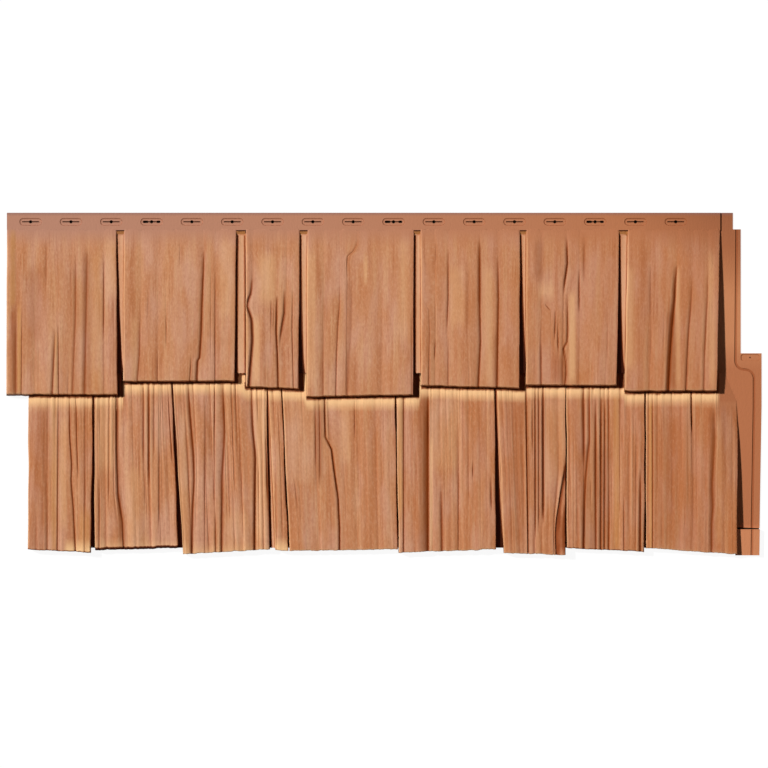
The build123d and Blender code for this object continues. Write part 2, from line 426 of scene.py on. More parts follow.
def least_around(values: Array, rows: int, columns: int) -> Array:
    """Least value in a window around each place.

    Args:
        values: The values in rows and columns.
        rows: How many rows the window reaches each way.
        columns: The same for columns.

    Returns:
        The least value for each row and column.
    """
    around = np.pad(values, ((rows, rows), (columns, columns)), "edge")
    windows = np.lib.stride_tricks.sliding_window_view(around, (2 * rows + 1, 2 * columns + 1))
    return windows.min((2, 3))


def wedge(x: Array, y: Array, z: Array, base: float, side_draft: float = 0.0,
          butt_draft: float = 0.0) -> Solid:
    """Closes a grid of rows from butt to head into a block that reaches back to a base.

    Args:
        x: Places of the grid along the panel, row by row.
        y: Heights of the grid.
        z: Levels of the grid out of the wall.
        base: Level of the block's back.
        side_draft: Sideways run of the sides for each millimetre down to the base.
        butt_draft: The same for the butt.

    Returns:
        The block, whose first points are those of the grid.
    """
    rows, columns = x.shape
    index = np.arange(rows * columns).reshape(rows, columns)
    top = np.stack([index[:-1, :-1], index[:-1, 1:], index[1:, 1:], index[1:, :-1]], -1).reshape(-1, 4)
    rim = np.concatenate([index[0, :-1], index[:-1, -1], index[-1, :0:-1], index[:0:-1, 0]])
    points = np.stack([x, y, z], -1).reshape(-1, 3)
    foot = points[rim].copy()
    fall = foot[:, 2] - base
    column = rim % columns
    foot[:, 0] += np.where(column == 0, -side_draft, np.where(column == columns - 1, side_draft, 0.0)) * fall
    foot[:, 1] -= np.where(rim < columns, butt_draft, 0.0) * fall
    foot[:, 2] = base
    count = rows * columns
    under = count + np.arange(len(rim))
    walls = np.stack([under, np.roll(under, -1), np.roll(rim, -1), rim], -1)
    faces = [tuple(face) for face in np.concatenate([top, walls]).tolist()]
    faces.append(tuple(under[::-1].tolist()))
    return Solid.plain(np.concatenate([points, foot]), faces, 1.0)


@dataclass
class ShakeFace:
    """The grid of one shake's face, and the hollow behind it."""

    shake: Shake
    relief: Relief
    butt_left: float
    head_left: float
    head_right: float
    y_head: float
    z_head: float
    side_draft: float
    butt_draft: float
    seed: int
    close_rows: Point
    split_head: float = 0.25  # how deep the splits are at the head
    split_butt: float = 1.1  # the same at the butt
    crest_head: float = 0.25  # the most that the face is crowned between splits at the head
    edge_radius: float = 1.4
    near_split: float = 0.03  # a groove that is this share of the width from a split follows it
    guide_gap: float = 2.5  # least distance between the lines that the grain follows
    squeezed_gap: float = 1.2  # the same where they run together
    column_gap: float = 0.25  # least distance between columns
    edge_rows: tuple[float, ...] = (0.0, 0.3, 0.9, SIZES.wall, 4.5)  # above the butt
    edge_zone: float = 5.0  # up to here the rows may be closer together
    edge_gap: float = 0.2  # least distance between rows there
    row_gap: float = 1.2  # and between the rest
    row_spacing: float = 6.8
    close_spacing: float = 2.0  # between rows where a groove slants or the light band ends
    slant: float = 0.35  # sideways run of a slanting groove for each millimetre down
    teeth: tuple[Point, ...] = ((9.0, 0.7), (2.2, 0.4))  # width of the butt's teeth, and their share
    wander_length: float = 38.0
    wander_strips: int = 12  # the sides stray over one strip in so many of the width
    wave_size: Point = (11.0, 160.0)
    ripple_size: Point = (3.6, 110.0)
    line_start: Point = (-0.2, 1.0)  # where a fine groove starts, as shares of the height left for it
    line_inside: float = 0.6  # share of it that lies on the face wherever it starts
    line_least: float = 0.35  # shallowest fine groove, as a share of the deepest
    line_fade: float = 22.0  # how far the ends of a fine groove fade out
    line_side: float = 0.45  # depth beside it, as a share of its own
    recess_reach: int = 7  # how many millimetres to each side the face around a point reaches
    hollow_spacing: float = 5.0  # between the columns of the hollow
    hollow_rows: int = 2  # rows of the face for each row of the hollow
    hollow_margin: float = 1.0  # least distance from the hollow's sides to its other columns
    swell: float = 1.8  # how much the face swells between head and butt
    foot_shade: float = 3.6  # painted shade at the foot of the sides, as a depth in mm
    edge_highlight: float = 0.4  # painted highlight at the left edge and the butt
    highlight_width: float = 2.4
    corner_blend: Point = (5.0, 16.0)  # how far the sides of a plain corner fade out

    def __post_init__(self) -> None:
        """Works out the grid."""
        self.rng = np.random.default_rng(self.seed)
        self.butt_right = self.butt_left + self.shake.width
        self.guides = self.grain_guides()
        self.shares = self.column_shares()
        self.lay_rows()
        self.plain = self.plain_share()
        self.raise_face()

    def edges(self, y: Array) -> tuple[Array, Array]:
        """Sides of the face.

        Args:
            y: Heights up the panel.

        Returns:
            Left and right side at each height.
        """
        up = (y - self.shake.butt) / (self.y_head - self.shake.butt)
        left = self.butt_left + up * (self.head_left - self.butt_left)
        right = self.butt_right + up * (self.head_right - self.butt_right)
        return left, right

    def grain_guides(self) -> list[tuple[float, Groove | None]]:
        """The grooves that the columns follow, and straight lines beside them, where the grain runs straight.

        Returns:
            Each with its usual share of the width, from left to right.
        """
        guides: list[tuple[float, Groove | None]] = []
        calm = []
        for groove in self.shake.grooves:
            y = np.linspace(*groove.span(), 30)
            left, right = self.edges(y)
            share = float(np.mean((line_at(groove.line, y) - left) / (right - left)))
            near = [split for split in self.shake.splits if abs(split - share) < self.near_split]
            share = near[0] if near else share
            if all(abs(share - other) * self.shake.width > self.guide_gap for other, _ in guides):
                guides.append((share, groove))
                bend = float(np.ptp(line_at(groove.line, y) - left - share * (right - left)))
                calm += [share + side * (CALM_REACH + bend) / self.shake.width for side in (-1, 1)]
        for share in calm:
            free = all(abs(share - other) * self.shake.width > CALM_REACH / 2 for other, _ in guides)
            if free and 0 < share < 1:
                guides.append((share, None))
        return sorted(guides, key=lambda guide: guide[0])

    def column_shares(self) -> Array:
        """Sets the columns, closer together at the edges and the grooves.

        Returns:
            Share of the width at which each column stands.
        """
        width = self.shake.width
        radius = self.edge_radius
        fixed = {0.0, 0.3 * radius / width, radius / width}
        fixed |= {1.0 - share for share in fixed}
        for share, groove in self.guides:
            if groove is not None:
                for aside in (-groove.left, -groove.left / 2, 0.0, groove.right / 2, groove.right):
                    fixed.add(share + aside / width)
        marks = sorted(share for share in fixed if 0 <= share <= 1)
        kept = [0.0]
        for share in marks[1:]:
            if (share - kept[-1]) * width > self.column_gap:
                kept.append(share)
        kept[-1] = 1.0
        shares: list[float] = []
        for start, end in zip(kept, kept[1:]):
            steps = max(1, round((end - start) * width / self.relief.spacing))
            shares += [start + (end - start) * step / steps for step in range(steps)]
        return np.array(shares + [1.0])

    def lay_rows(self) -> None:
        """Sets the grid's places along and up the panel."""
        shake = self.shake
        t = self.shares
        across = t * shake.width
        teeth = [share * grain_noise(self.rng, across, np.zeros(1), (width, 1.0))[0]
                 for width, share in self.teeth]
        self.y_butt = shake.butt + shake.skew * t + self.relief.ragged * sum(teeth)
        height = self.y_head - shake.butt
        edge = self.edge_rows[-1]
        steps = max(2, round((height - edge) / self.row_spacing))
        rows = [*self.edge_rows, *(edge + (height - edge) * (i + 1) / steps for i in range(steps))]
        rows += list(np.arange(*self.close_rows, self.close_spacing) - shake.butt)
        for groove in shake.grooves:
            for (xa, ya), (xb, yb) in zip(groove.line, groove.line[1:]):
                if abs(xa - xb) > self.slant * abs(ya - yb):
                    rows += list(np.arange(yb, ya, self.close_spacing) - shake.butt)
        rows = sorted(rows)
        kept = [rows[0]]
        for row in rows[1:]:
            if row - kept[-1] > (self.edge_gap if row < self.edge_zone else self.row_gap):
                kept.append(row)
        kept[-1] = height
        self.up = np.array(kept) / height
        self.y = self.y_butt + self.up[:, None] * (self.y_head - self.y_butt)
        left, right = self.edges(self.y)
        knots = [0.0] + [share for share, _ in self.guides] + [1.0]
        shares_at = [np.zeros_like(self.y)]
        least_gap = self.squeezed_gap / shake.width
        for straight, groove in self.guides:
            share = np.full_like(self.y, straight)
            if groove is not None:
                inside = np.clip(self.y, *groove.span())
                inner_left, inner_right = self.edges(inside)
                share = (line_at(groove.line, inside) - inner_left) / (inner_right - inner_left)
            shares_at.append(np.maximum(share, shares_at[-1] + least_gap))
        shares_at.append(np.ones_like(self.y))
        for k in range(len(shares_at) - 2, 0, -1):
            shares_at[k] = np.minimum(shares_at[k], shares_at[k + 1] - least_gap)
        place = np.zeros_like(self.y)
        for k, (start, end) in enumerate(zip(knots, knots[1:])):
            inside = (t >= start) & (t <= end)
            part = (t[inside] - start) / (end - start)
            place[:, inside] = shares_at[k][:, inside] * (1 - part) + shares_at[k + 1][:, inside] * part
        stray = grain_noise(self.rng, np.array([0.0, 1.0]), self.up * height, (1.0, self.wander_length))
        stray = self.relief.wander * stray
        strips = self.wander_strips
        self.x = left + place * (right - left)
        self.x += (stray[:, :1] * np.clip(1 - place * strips, 0, 1)
                   + stray[:, 1:] * np.clip(place * strips - (strips - 1), 0, 1))
        self.left, self.right = self.x[:, 0], self.x[:, -1]

    def plain_share(self) -> Array:
        """How plain the face is.

        Returns:
            A share from 0 to 1 at each point.
        """
        if self.shake.plain_corner is None:
            return np.zeros_like(self.x)
        x0, y0 = self.shake.plain_corner
        across = np.clip((self.x - x0) / self.corner_blend[0], 0, 1)
        return across * np.clip((self.y - y0) / self.corner_blend[1], 0, 1)

    def swept_profile(self, levels: Sequence[float], crests: Sequence[float]) -> Array:
        """Profile across the face, rounded between its splits.

        Args:
            levels: Level of the sides and the splits.
            crests: How far it is crowned between them.

        Returns:
            The level of each column.
        """
        shares = [0.0, *self.shake.splits, 1.0]
        line = np.interp(self.shares, shares, levels)
        for (start, end), crest in zip(zip(shares, shares[1:]), crests):
            part = np.clip((self.shares - start) / (end - start), 0, 1)
            line += crest * 4 * part * (1 - part)
        return line

    def raise_face(self) -> None:
        """Sets the level of each point, and its recess, its lean in colour, its painted shade beside grooves
        and along the butt, and its painted highlight at the left edge and the butt.
        """
        shake, relief = self.shake, self.relief
        shares = [0.0, *shake.splits, 1.0]
        inner = [0 < share < 1 for share in shares]
        butt = self.swept_profile([shake.rise - self.split_butt * split for split in inner], shake.crests)
        head_levels = [self.z_head - self.split_head * split for split in inner]
        head_levels[-1] -= shake.head_fall
        head = self.swept_profile(head_levels, [min(self.crest_head, crest) for crest in shake.crests])
        up = self.up[:, None]
        smooth = butt * (1 - up) + head * up
        smooth = smooth + self.swell * 4 * up * (1 - up)
        across = self.shares * shake.width
        along = self.up * (self.y_head - shake.butt)
        amount = shake.rough * np.clip((1 - up) / relief.calm, 0, 1) * (1 - self.plain)
        rough = relief.waves * grain_noise(self.rng, across, along, self.wave_size)
        rough += relief.ripples * grain_noise(self.rng, across, along, self.ripple_size)
        z = smooth + rough * amount
        z -= self.fine_lines(along) * amount
        self.paint = {tone: np.zeros_like(z) for tone in Tone}
        for groove in shake.grooves:
            place = self.x, self.y, self.y_butt
            z -= groove.depth * groove.shape(*place)
            # brown beside the groove, partly painted shade that grows with its depth
            self.paint[BROWN] += groove.brown() * groove.shape(*place, HALO_WIDTH)
        # points lying below the face around them are painted darker, partly as a stain and partly as painted
        # shade
        self.recess = self.depth_below_neighbours(z)
        rim_left = self.x - self.left[:, None]
        rim = np.minimum(rim_left, self.right[:, None] - self.x)
        rim = np.minimum(rim, self.y - self.y_butt)
        fall = np.clip(1 - rim / self.edge_radius, 0, 1)
        z -= self.edge_radius * (1 - np.sqrt(np.clip(1 - fall**2, 0, 1)))
        self.z = z
        for streak in shake.streaks:
            self.paint[streak.tone] += streak.weight(self.x, self.y)
        above = self.y - self.y_butt
        # a painted shade line along the butt's edge
        line_shade, line_width = shake.foot_line
        self.paint[DARK] += line_shade * np.clip((line_width - above) / self.edge_radius, 0, 1)
        # painted highlight along the left edge and the butt
        highlight_distance = np.minimum(rim_left, above)
        self.paint[CREAM] += self.edge_highlight * np.clip(1 - highlight_distance / self.highlight_width, 0, 1)

    def fine_lines(self, along: Array) -> Array:
        """Fine grooves, each of which follows one column.

        Args:
            along: Height of each row above the butt.

        Returns:
            Their depth at each point.
        """
        rows, columns = self.y.shape
        depth = np.zeros((rows, columns))
        count = round(self.relief.lines * self.shake.width / 100)
        length = along[-1]
        shortest, longest = self.relief.line_length
        for _ in range(count):
            column = int(self.rng.integers(2, columns - 2))
            run = self.rng.uniform(shortest, longest) * length
            start = self.rng.uniform(*self.line_start) * (length - self.line_inside * run)
            end = start + run
            deep = self.relief.line_depth * self.rng.uniform(self.line_least, 1.0)
            inside = np.clip(np.minimum(along - start, end - along) / self.line_fade, 0, 1)
            depth[:, column] = np.maximum(depth[:, column], deep * inside)
            side = column + int(self.rng.choice((-1, 1)))
            depth[:, side] = np.maximum(depth[:, side], self.line_side * deep * inside)
        return depth

    def depth_below_neighbours(self, z: Array) -> Array:
        """How far each point lies below the smoothed face around it.

        Args:
            z: Level of each point.

        Returns:
            The depth, less than zero where the point lies above it.
        """
        reach = self.recess_reach
        even = np.arange(0, self.shake.width + 1, 1.0)
        weights = np.hanning(2 * reach + 1)
        weights /= weights.sum()
        below = np.zeros_like(z)
        for row in range(len(z)):
            places = self.x[row] - self.x[row, 0]
            level = np.interp(even, places, z[row])
            padded = np.pad(level, reach, mode="edge")
            mean = np.convolve(padded, weights, "valid")
            below[row] = np.interp(places, even, mean) - z[row]
        return below

    def front(self, wear: Array, grain: Array) -> Solid:
        """The shake as a block, painted along the grain.

        Args:
            wear: How light the paint is at each point of the grid, as a painted highlight.
            grain: How strong the wood grain is at each point.

        Returns:
            The block from the wall side to the face.
        """
        solid = wedge(self.x, self.y, self.z, BASE, self.side_draft, self.butt_draft)
        count = self.x.size
        straight = self.butt_left + self.shares * self.shake.width
        solid.grain[:count, 0] = (straight - self.x).ravel()
        solid.grain[:count, 1] = grain.ravel()
        solid.grain[:count, 2] = (grain * self.paint[BROWN]).ravel()
        # recess darkening with painted shade, lean to ochre or red, and painted highlight with the cream
        # streaks
        solid.stain_and_shade[:count, 0] = (grain * (self.recess + self.paint[DARK])).ravel()
        solid.stain_and_shade[:count, 1] = (self.paint[OCHRE] - self.paint[RED]).ravel()
        solid.stain_and_shade[:count, 2] = (grain * np.maximum(wear, self.paint[CREAM])).ravel()
        # the sides are painted darker towards their foot, as painted shade
        solid.stain_and_shade[count:, 0] = self.foot_shade
        return solid

    def hollow(self, y_head: float) -> Solid:
        """The room behind the shake, one wall inside its face.

        Args:
            y_head: Where the room ends at the top.

        Returns:
            The room as a block that starts behind the wall plane.
        """
        wall = SIZES.wall
        across = self.shares * self.shake.width
        step = max(1, round(self.hollow_spacing / self.relief.spacing))
        margin = wall + self.hollow_margin
        inside = np.flatnonzero((across > margin) & (across < self.shake.width - margin))[::step]
        columns = np.concatenate([[0], inside, [len(across) - 1]])
        start = int(np.flatnonzero(self.up * (self.y_head - self.shake.butt) >= wall - HAIR)[0])
        last = len(self.up) - 1
        rows = np.unique(np.append(np.arange(start, last, self.hollow_rows), last))
        z = least_around(self.z, self.hollow_rows, step + 1) - wall
        x = np.clip(self.x, self.left[:, None] + wall, self.right[:, None] - wall)
        pick = np.ix_(rows, columns)
        x, y, z = x[pick], self.y[pick], z[pick]
        y[0] = self.y_butt[columns] + wall
        y[-1] = y_head
        return wedge(x, y, z, UNDER, self.side_draft, self.butt_draft)


@dataclass
class Course:
    """A row of shakes with narrow gaps between them."""

    name: str
    shakes: tuple[Shake, ...]
    relief: Relief
    x_start: float
    y_head: float
    z_head: float
    butt_draft: float
    seed: int
    close_rows: Point = (0.0, 0.0)  # heights between which the faces' rows are close together
    side_draft: float = 0.05
    faces: list[ShakeFace] = field(default_factory=list)

    def lay(self) -> None:
        """Works out each shake's face from left to right."""
        left = head_left = self.x_start
        for number, shake in enumerate(self.shakes):
            right = left + shake.width
            gap_middle = right + shake.keyway / 2 + shake.lean
            head_right = gap_middle - shake.head_keyway / 2
            self.faces.append(ShakeFace(
                shake, self.relief, left, head_left, head_right, self.y_head, self.z_head,
                self.side_draft, self.butt_draft, self.seed + number, self.close_rows,
            ))
            left = right + shake.keyway
            head_left = gap_middle + shake.head_keyway / 2

    def shades(self, x: Array) -> Array:
        """Where the course's painted shadow falls on what is below it.

        Args:
            x: Places along the panel.

        Returns:
            One below a shake or its painted shadow patch, and zero elsewhere.
        """
        inside = np.zeros_like(x)
        for face in self.faces:
            inside[(x > face.butt_left) & (x < face.butt_right + face.shake.patch)] = 1.0
        return inside

    def butt_line(self, x: Array) -> Array:
        """Lower edge of the course.

        Args:
            x: Places along the panel.

        Returns:
            Height of the butt at each place, and of the painted shadow patch's foot in a gap.
        """
        places = np.concatenate([[*face.x[0], face.butt_right + face.shake.patch] for face in self.faces])
        heights = np.concatenate([[*face.y_butt, face.y_butt[-1]] for face in self.faces])
        return np.interp(x, places, heights)


UPPER_SHAKES = (
    Shake(
        154, 8.6, 10.8, -0.6, 224.4, 0, 19,
        (0.07, 0.25, 0.58, 0.72, 0.88), (0.5, 0.7, 1.3, 0.7, 0.9, 0.6),
        grooves=(
            Groove(((13, 325), (13, 224)), 0.6, 5, 4),
            Groove(((22, 345), (21, 224)), 0.6),
            Groove(((55, 440), (55, 366)), 0.5, 3, 2),
            Groove(((68, 315), (64, 224)), 1.2, 4, 2.4),
            Groove(((72, 320), (73, 224)), 0.8, 1.6, 1.6),
            Groove(((96, 421), (96, 330), (94, 280), (92, 224)), 0.7, 3, 2),
            Groove(((112, 426), (111, 345), (110, 292), (109, 224)), 0.7, 5, 2.6),
            Groove(((135, 414), (135, 297)), 0.7, 1.4, 2),
        ),
        streaks=(
            Streak((5, 12), (340, 450), OCHRE, 0.5, 4),
            Streak((6, 14), (224, 345), RED, 0.7, 4),
            Streak((15, 20), (224, 345), OCHRE, 0.5, 2),
            Streak((31, 48), (300, 400), RED, 0.3, 8),
            Streak((66, 71), (224, 305), OCHRE, 0.4, 2),
            Streak((28, 46), (256, 397), BROWN, 0.12, 8),
            Streak((6, 12), (335, 450), BROWN, 0.3, 3),
            Streak((89, 97), (226, 400), BROWN, 0.2, 3),
            Streak((105, 118), (226, 420), BROWN, 0.32, 5),
            Streak((118, 132), (230, 420), OCHRE, 0.2, 6),
            Streak((138, 152), (360, 445), CREAM, 0.18, 8),
        ),
        rough=0.8, stain_and_shade=(9, 1.8),
    ),
    Shake(
        154.4, 14.4, 11, 0.6, 242.4, 0.8, 18.6, (0.14, 0.31, 0.69, 0.84), (0.6, 0.8, 1.5, 0.8, 0.7),
        grooves=(
            Groove(((186, 340), (185, 281), (182, 242)), 0.45, 3, 2),
            Groove(((197, 370), (197, 327)), 0.4),
            Groove(((210, 284), (210, 242)), 0.45),
            Groove(((222, 336), (222, 288)), 0.6),
            Groove(((241, 438), (241, 397)), 0.4),
            Groove(((257, 276), (255, 242)), 0.9, 1.6, 1.6),
            Groove(((274, 425), (274, 403), (272, 351), (271, 311), (269, 275), (266, 270), (265, 242)),
                   1.25, 3.4, 2.2),
            Groove(((284, 405), (284, 262)), 0.4),
            Groove(((290, 395), (290, 242)), 0.5, 1.6, 1.6),
        ),
        streaks=(
            Streak((174, 182), (241, 330), CREAM, 0.2, 4),
            Streak((266, 275), (270, 440), BROWN, 0.2, 4),
            Streak((296, 316), (330, 440), CREAM, 0.15, 8),
        ),
        rough=0.9, stain_and_shade=(5, 3.2), raised=(4, 2), patch=5.4,
    ),
    Shake(
        74.4, 11.6, 10.4, 1, 235.4, -3, 18, (0.12, 0.58, 0.74), (0.6, 1.2, 0.7, 0.8),
        grooves=(
            Groove(((341, 385), (340, 365), (336, 355), (334, 347), (338, 336), (341, 327), (342, 298),
                    (339, 262), (337, 233)), 1.6, 3, 3.6),
            Groove(((329, 422), (330, 373)), 0.6),
            Groove(((368, 357), (368, 313)), 0.5),
            Groove(((372, 352), (371, 305)), 0.5),
            Groove(((376, 361), (375, 311), (377, 275), (378, 233)), 1.6, 2.2, 2.2),
            Groove(((386, 367), (386, 337), (382, 313), (379, 288)), 1.6, 2.4, 3),
            Groove(((398, 371), (397, 313), (399, 233)), 0.8),
        ),
        streaks=(
            Streak((352, 374), (352, 418), CREAM, 0.3, 8),
            Streak((343, 352), (240, 330), CREAM, 0.25, 4),
            Streak((330, 336), (240, 340), OCHRE, 0.3, 3),
        ),
        stain_and_shade=(9, 2.8), raised=(0, 2), patch=7,
    ),
    Shake(
        147.8, 11.2, 9.2, 0.2, 221.4, 2.6, 19.2, (0.14, 0.28, 0.41, 0.7), (0.7, 0.8, 0.7, 1.2, 1.1),
        grooves=(
            Groove(((440, 338), (440, 222)), 0.2, 4, 3),
            Groove(((463, 378), (463, 351), (461, 324), (459, 283), (458, 234)), 0.5, 1.8, 1.6),
            Groove(((487, 445), (487, 432), (481, 422), (474, 416), (473, 408), (473, 387)), 0.45, 1.2, 1.4),
            Groove(((479, 390), (480, 356), (479, 311), (476, 275), (474, 224)), 0.45, 5, 3),
            Groove(((563, 340), (563, 232)), 0.5),
        ),
        streaks=(
            Streak((418, 430), (235, 420), CREAM, 0.2, 4),
            Streak((434, 446), (225, 400), BROWN, 0.15, 4),
            Streak((472, 480), (228, 380), BROWN, 0.25, 4),
            Streak((497, 501), (380, 415), CREAM, 0.4, 3),
            Streak((545, 560), (300, 440), CREAM, 0.15, 8),
        ),
        rough=0.55, stain_and_shade=(4.2, 3.2), raised=(4.5, 2.2),
    ),
    Shake(
        136.4, 9.2, 8.6, 0.8, 237, -3.8, 18.4, (0.12, 0.26, 0.6, 0.78), (0.5, 0.7, 1.3, 0.8, 0.8),
        grooves=(
            Groove(((582, 347), (587, 342), (588, 315), (587, 237)), 0.65, 1.5, 1.5),
            Groove(((596, 300), (595, 272)), 0.7),
            Groove(((597, 435), (597, 404)), 0.4),
            Groove(((614, 425), (614, 357), (612, 311)), 0.8, 2, 1.6),
            Groove(((614, 298), (614, 237)), 0.7),
            Groove(((642, 411), (641, 300)), 0.4, 4, 4),
            Groove(((658, 440), (658, 346), (659, 297), (656, 236)), 1.15, 3.6, 2.2),
            Groove(((683, 414), (684, 357), (683, 297), (682, 236)), 1, 3, 1.8),
        ),
        streaks=(
            Streak((655, 660), (350, 432), BROWN, 0.5, 2),
            Streak((676, 683), (236, 310), BROWN, 0.35, 4),
            Streak((617, 636), (320, 400), CREAM, 0.2, 8),
            Streak((664, 676), (240, 400), CREAM, 0.2, 6),
        ),
        rough=0.8,
    ),
    Shake(
        125.8, 11.6, 11.6, 4.2, 237.4, -0.6, 18.6, (0.18, 0.44, 0.6), (0.7, 1.1, 0.8, 1.2),
        grooves=(
            Groove(((743, 294), (743, 237)), 0.7, 3, 2),
            Groove(((748, 350), (756, 340)), 0.8),
            Groove(((763, 341), (762, 297)), 1.1, 1.6, 1.6),
            Groove(((766, 324), (767, 278)), 1, 1.6, 1.6),
            Groove(((779, 443), (780, 405), (776, 378), (774, 361)), 1.7, 3, 2),
            Groove(((779, 365), (780, 313), (779, 297), (774, 287), (777, 272), (778, 253), (776, 238)),
                   1.3, 2, 1.8),
            Groove(((796, 395), (796, 335)), 1, 2.4, 2),
            Groove(((803, 441), (803, 375)), 0.8, 2, 2),
        ),
        streaks=(
            Streak((734, 746), (384, 440), BROWN, 0.4, 5),
            Streak((758, 776), (240, 278), RED, 0.55, 6),
            Streak((782, 790), (240, 365), CREAM, 0.4, 4),
            Streak((740, 760), (360, 376), CREAM, 0.3, 6),
        ),
        rough=0.9, patch=11,
    ),
    Shake(
        128, 0, 0, 5, 229.2, 0.4, 19, (0.26, 0.52, 0.7, 0.87), (0.9, 1, 0.9, 0.8, 0.6),
        grooves=(
            Groove(((895, 405), (895, 330)), 0.4, 3, 3),
            Groove(((932, 405), (930, 380), (929, 357), (925, 313), (922, 270), (920, 229)), 2, 5.4, 2.6),
            Groove(((953, 382), (951, 346), (948, 310), (946, 275), (944, 229)), 0.6, 3, 2.2),
            Groove(((975, 395), (974, 357), (972, 324), (970, 283), (969, 229)), 0.55, 3, 2.2),
            Groove(((982, 429), (982, 398)), 0.3, 2, 2),
        ),
        streaks=(
            Streak((917, 930), (229, 340), BROWN, 0.55, 5),
            Streak((930, 936), (235, 400), CREAM, 0.25, 3),
            Streak((852, 872), (260, 400), CREAM, 0.25, 8),
            Streak((976, 984), (235, 420), CREAM, 0.2, 4),
        ),
        rough=0.9,
    ),
)

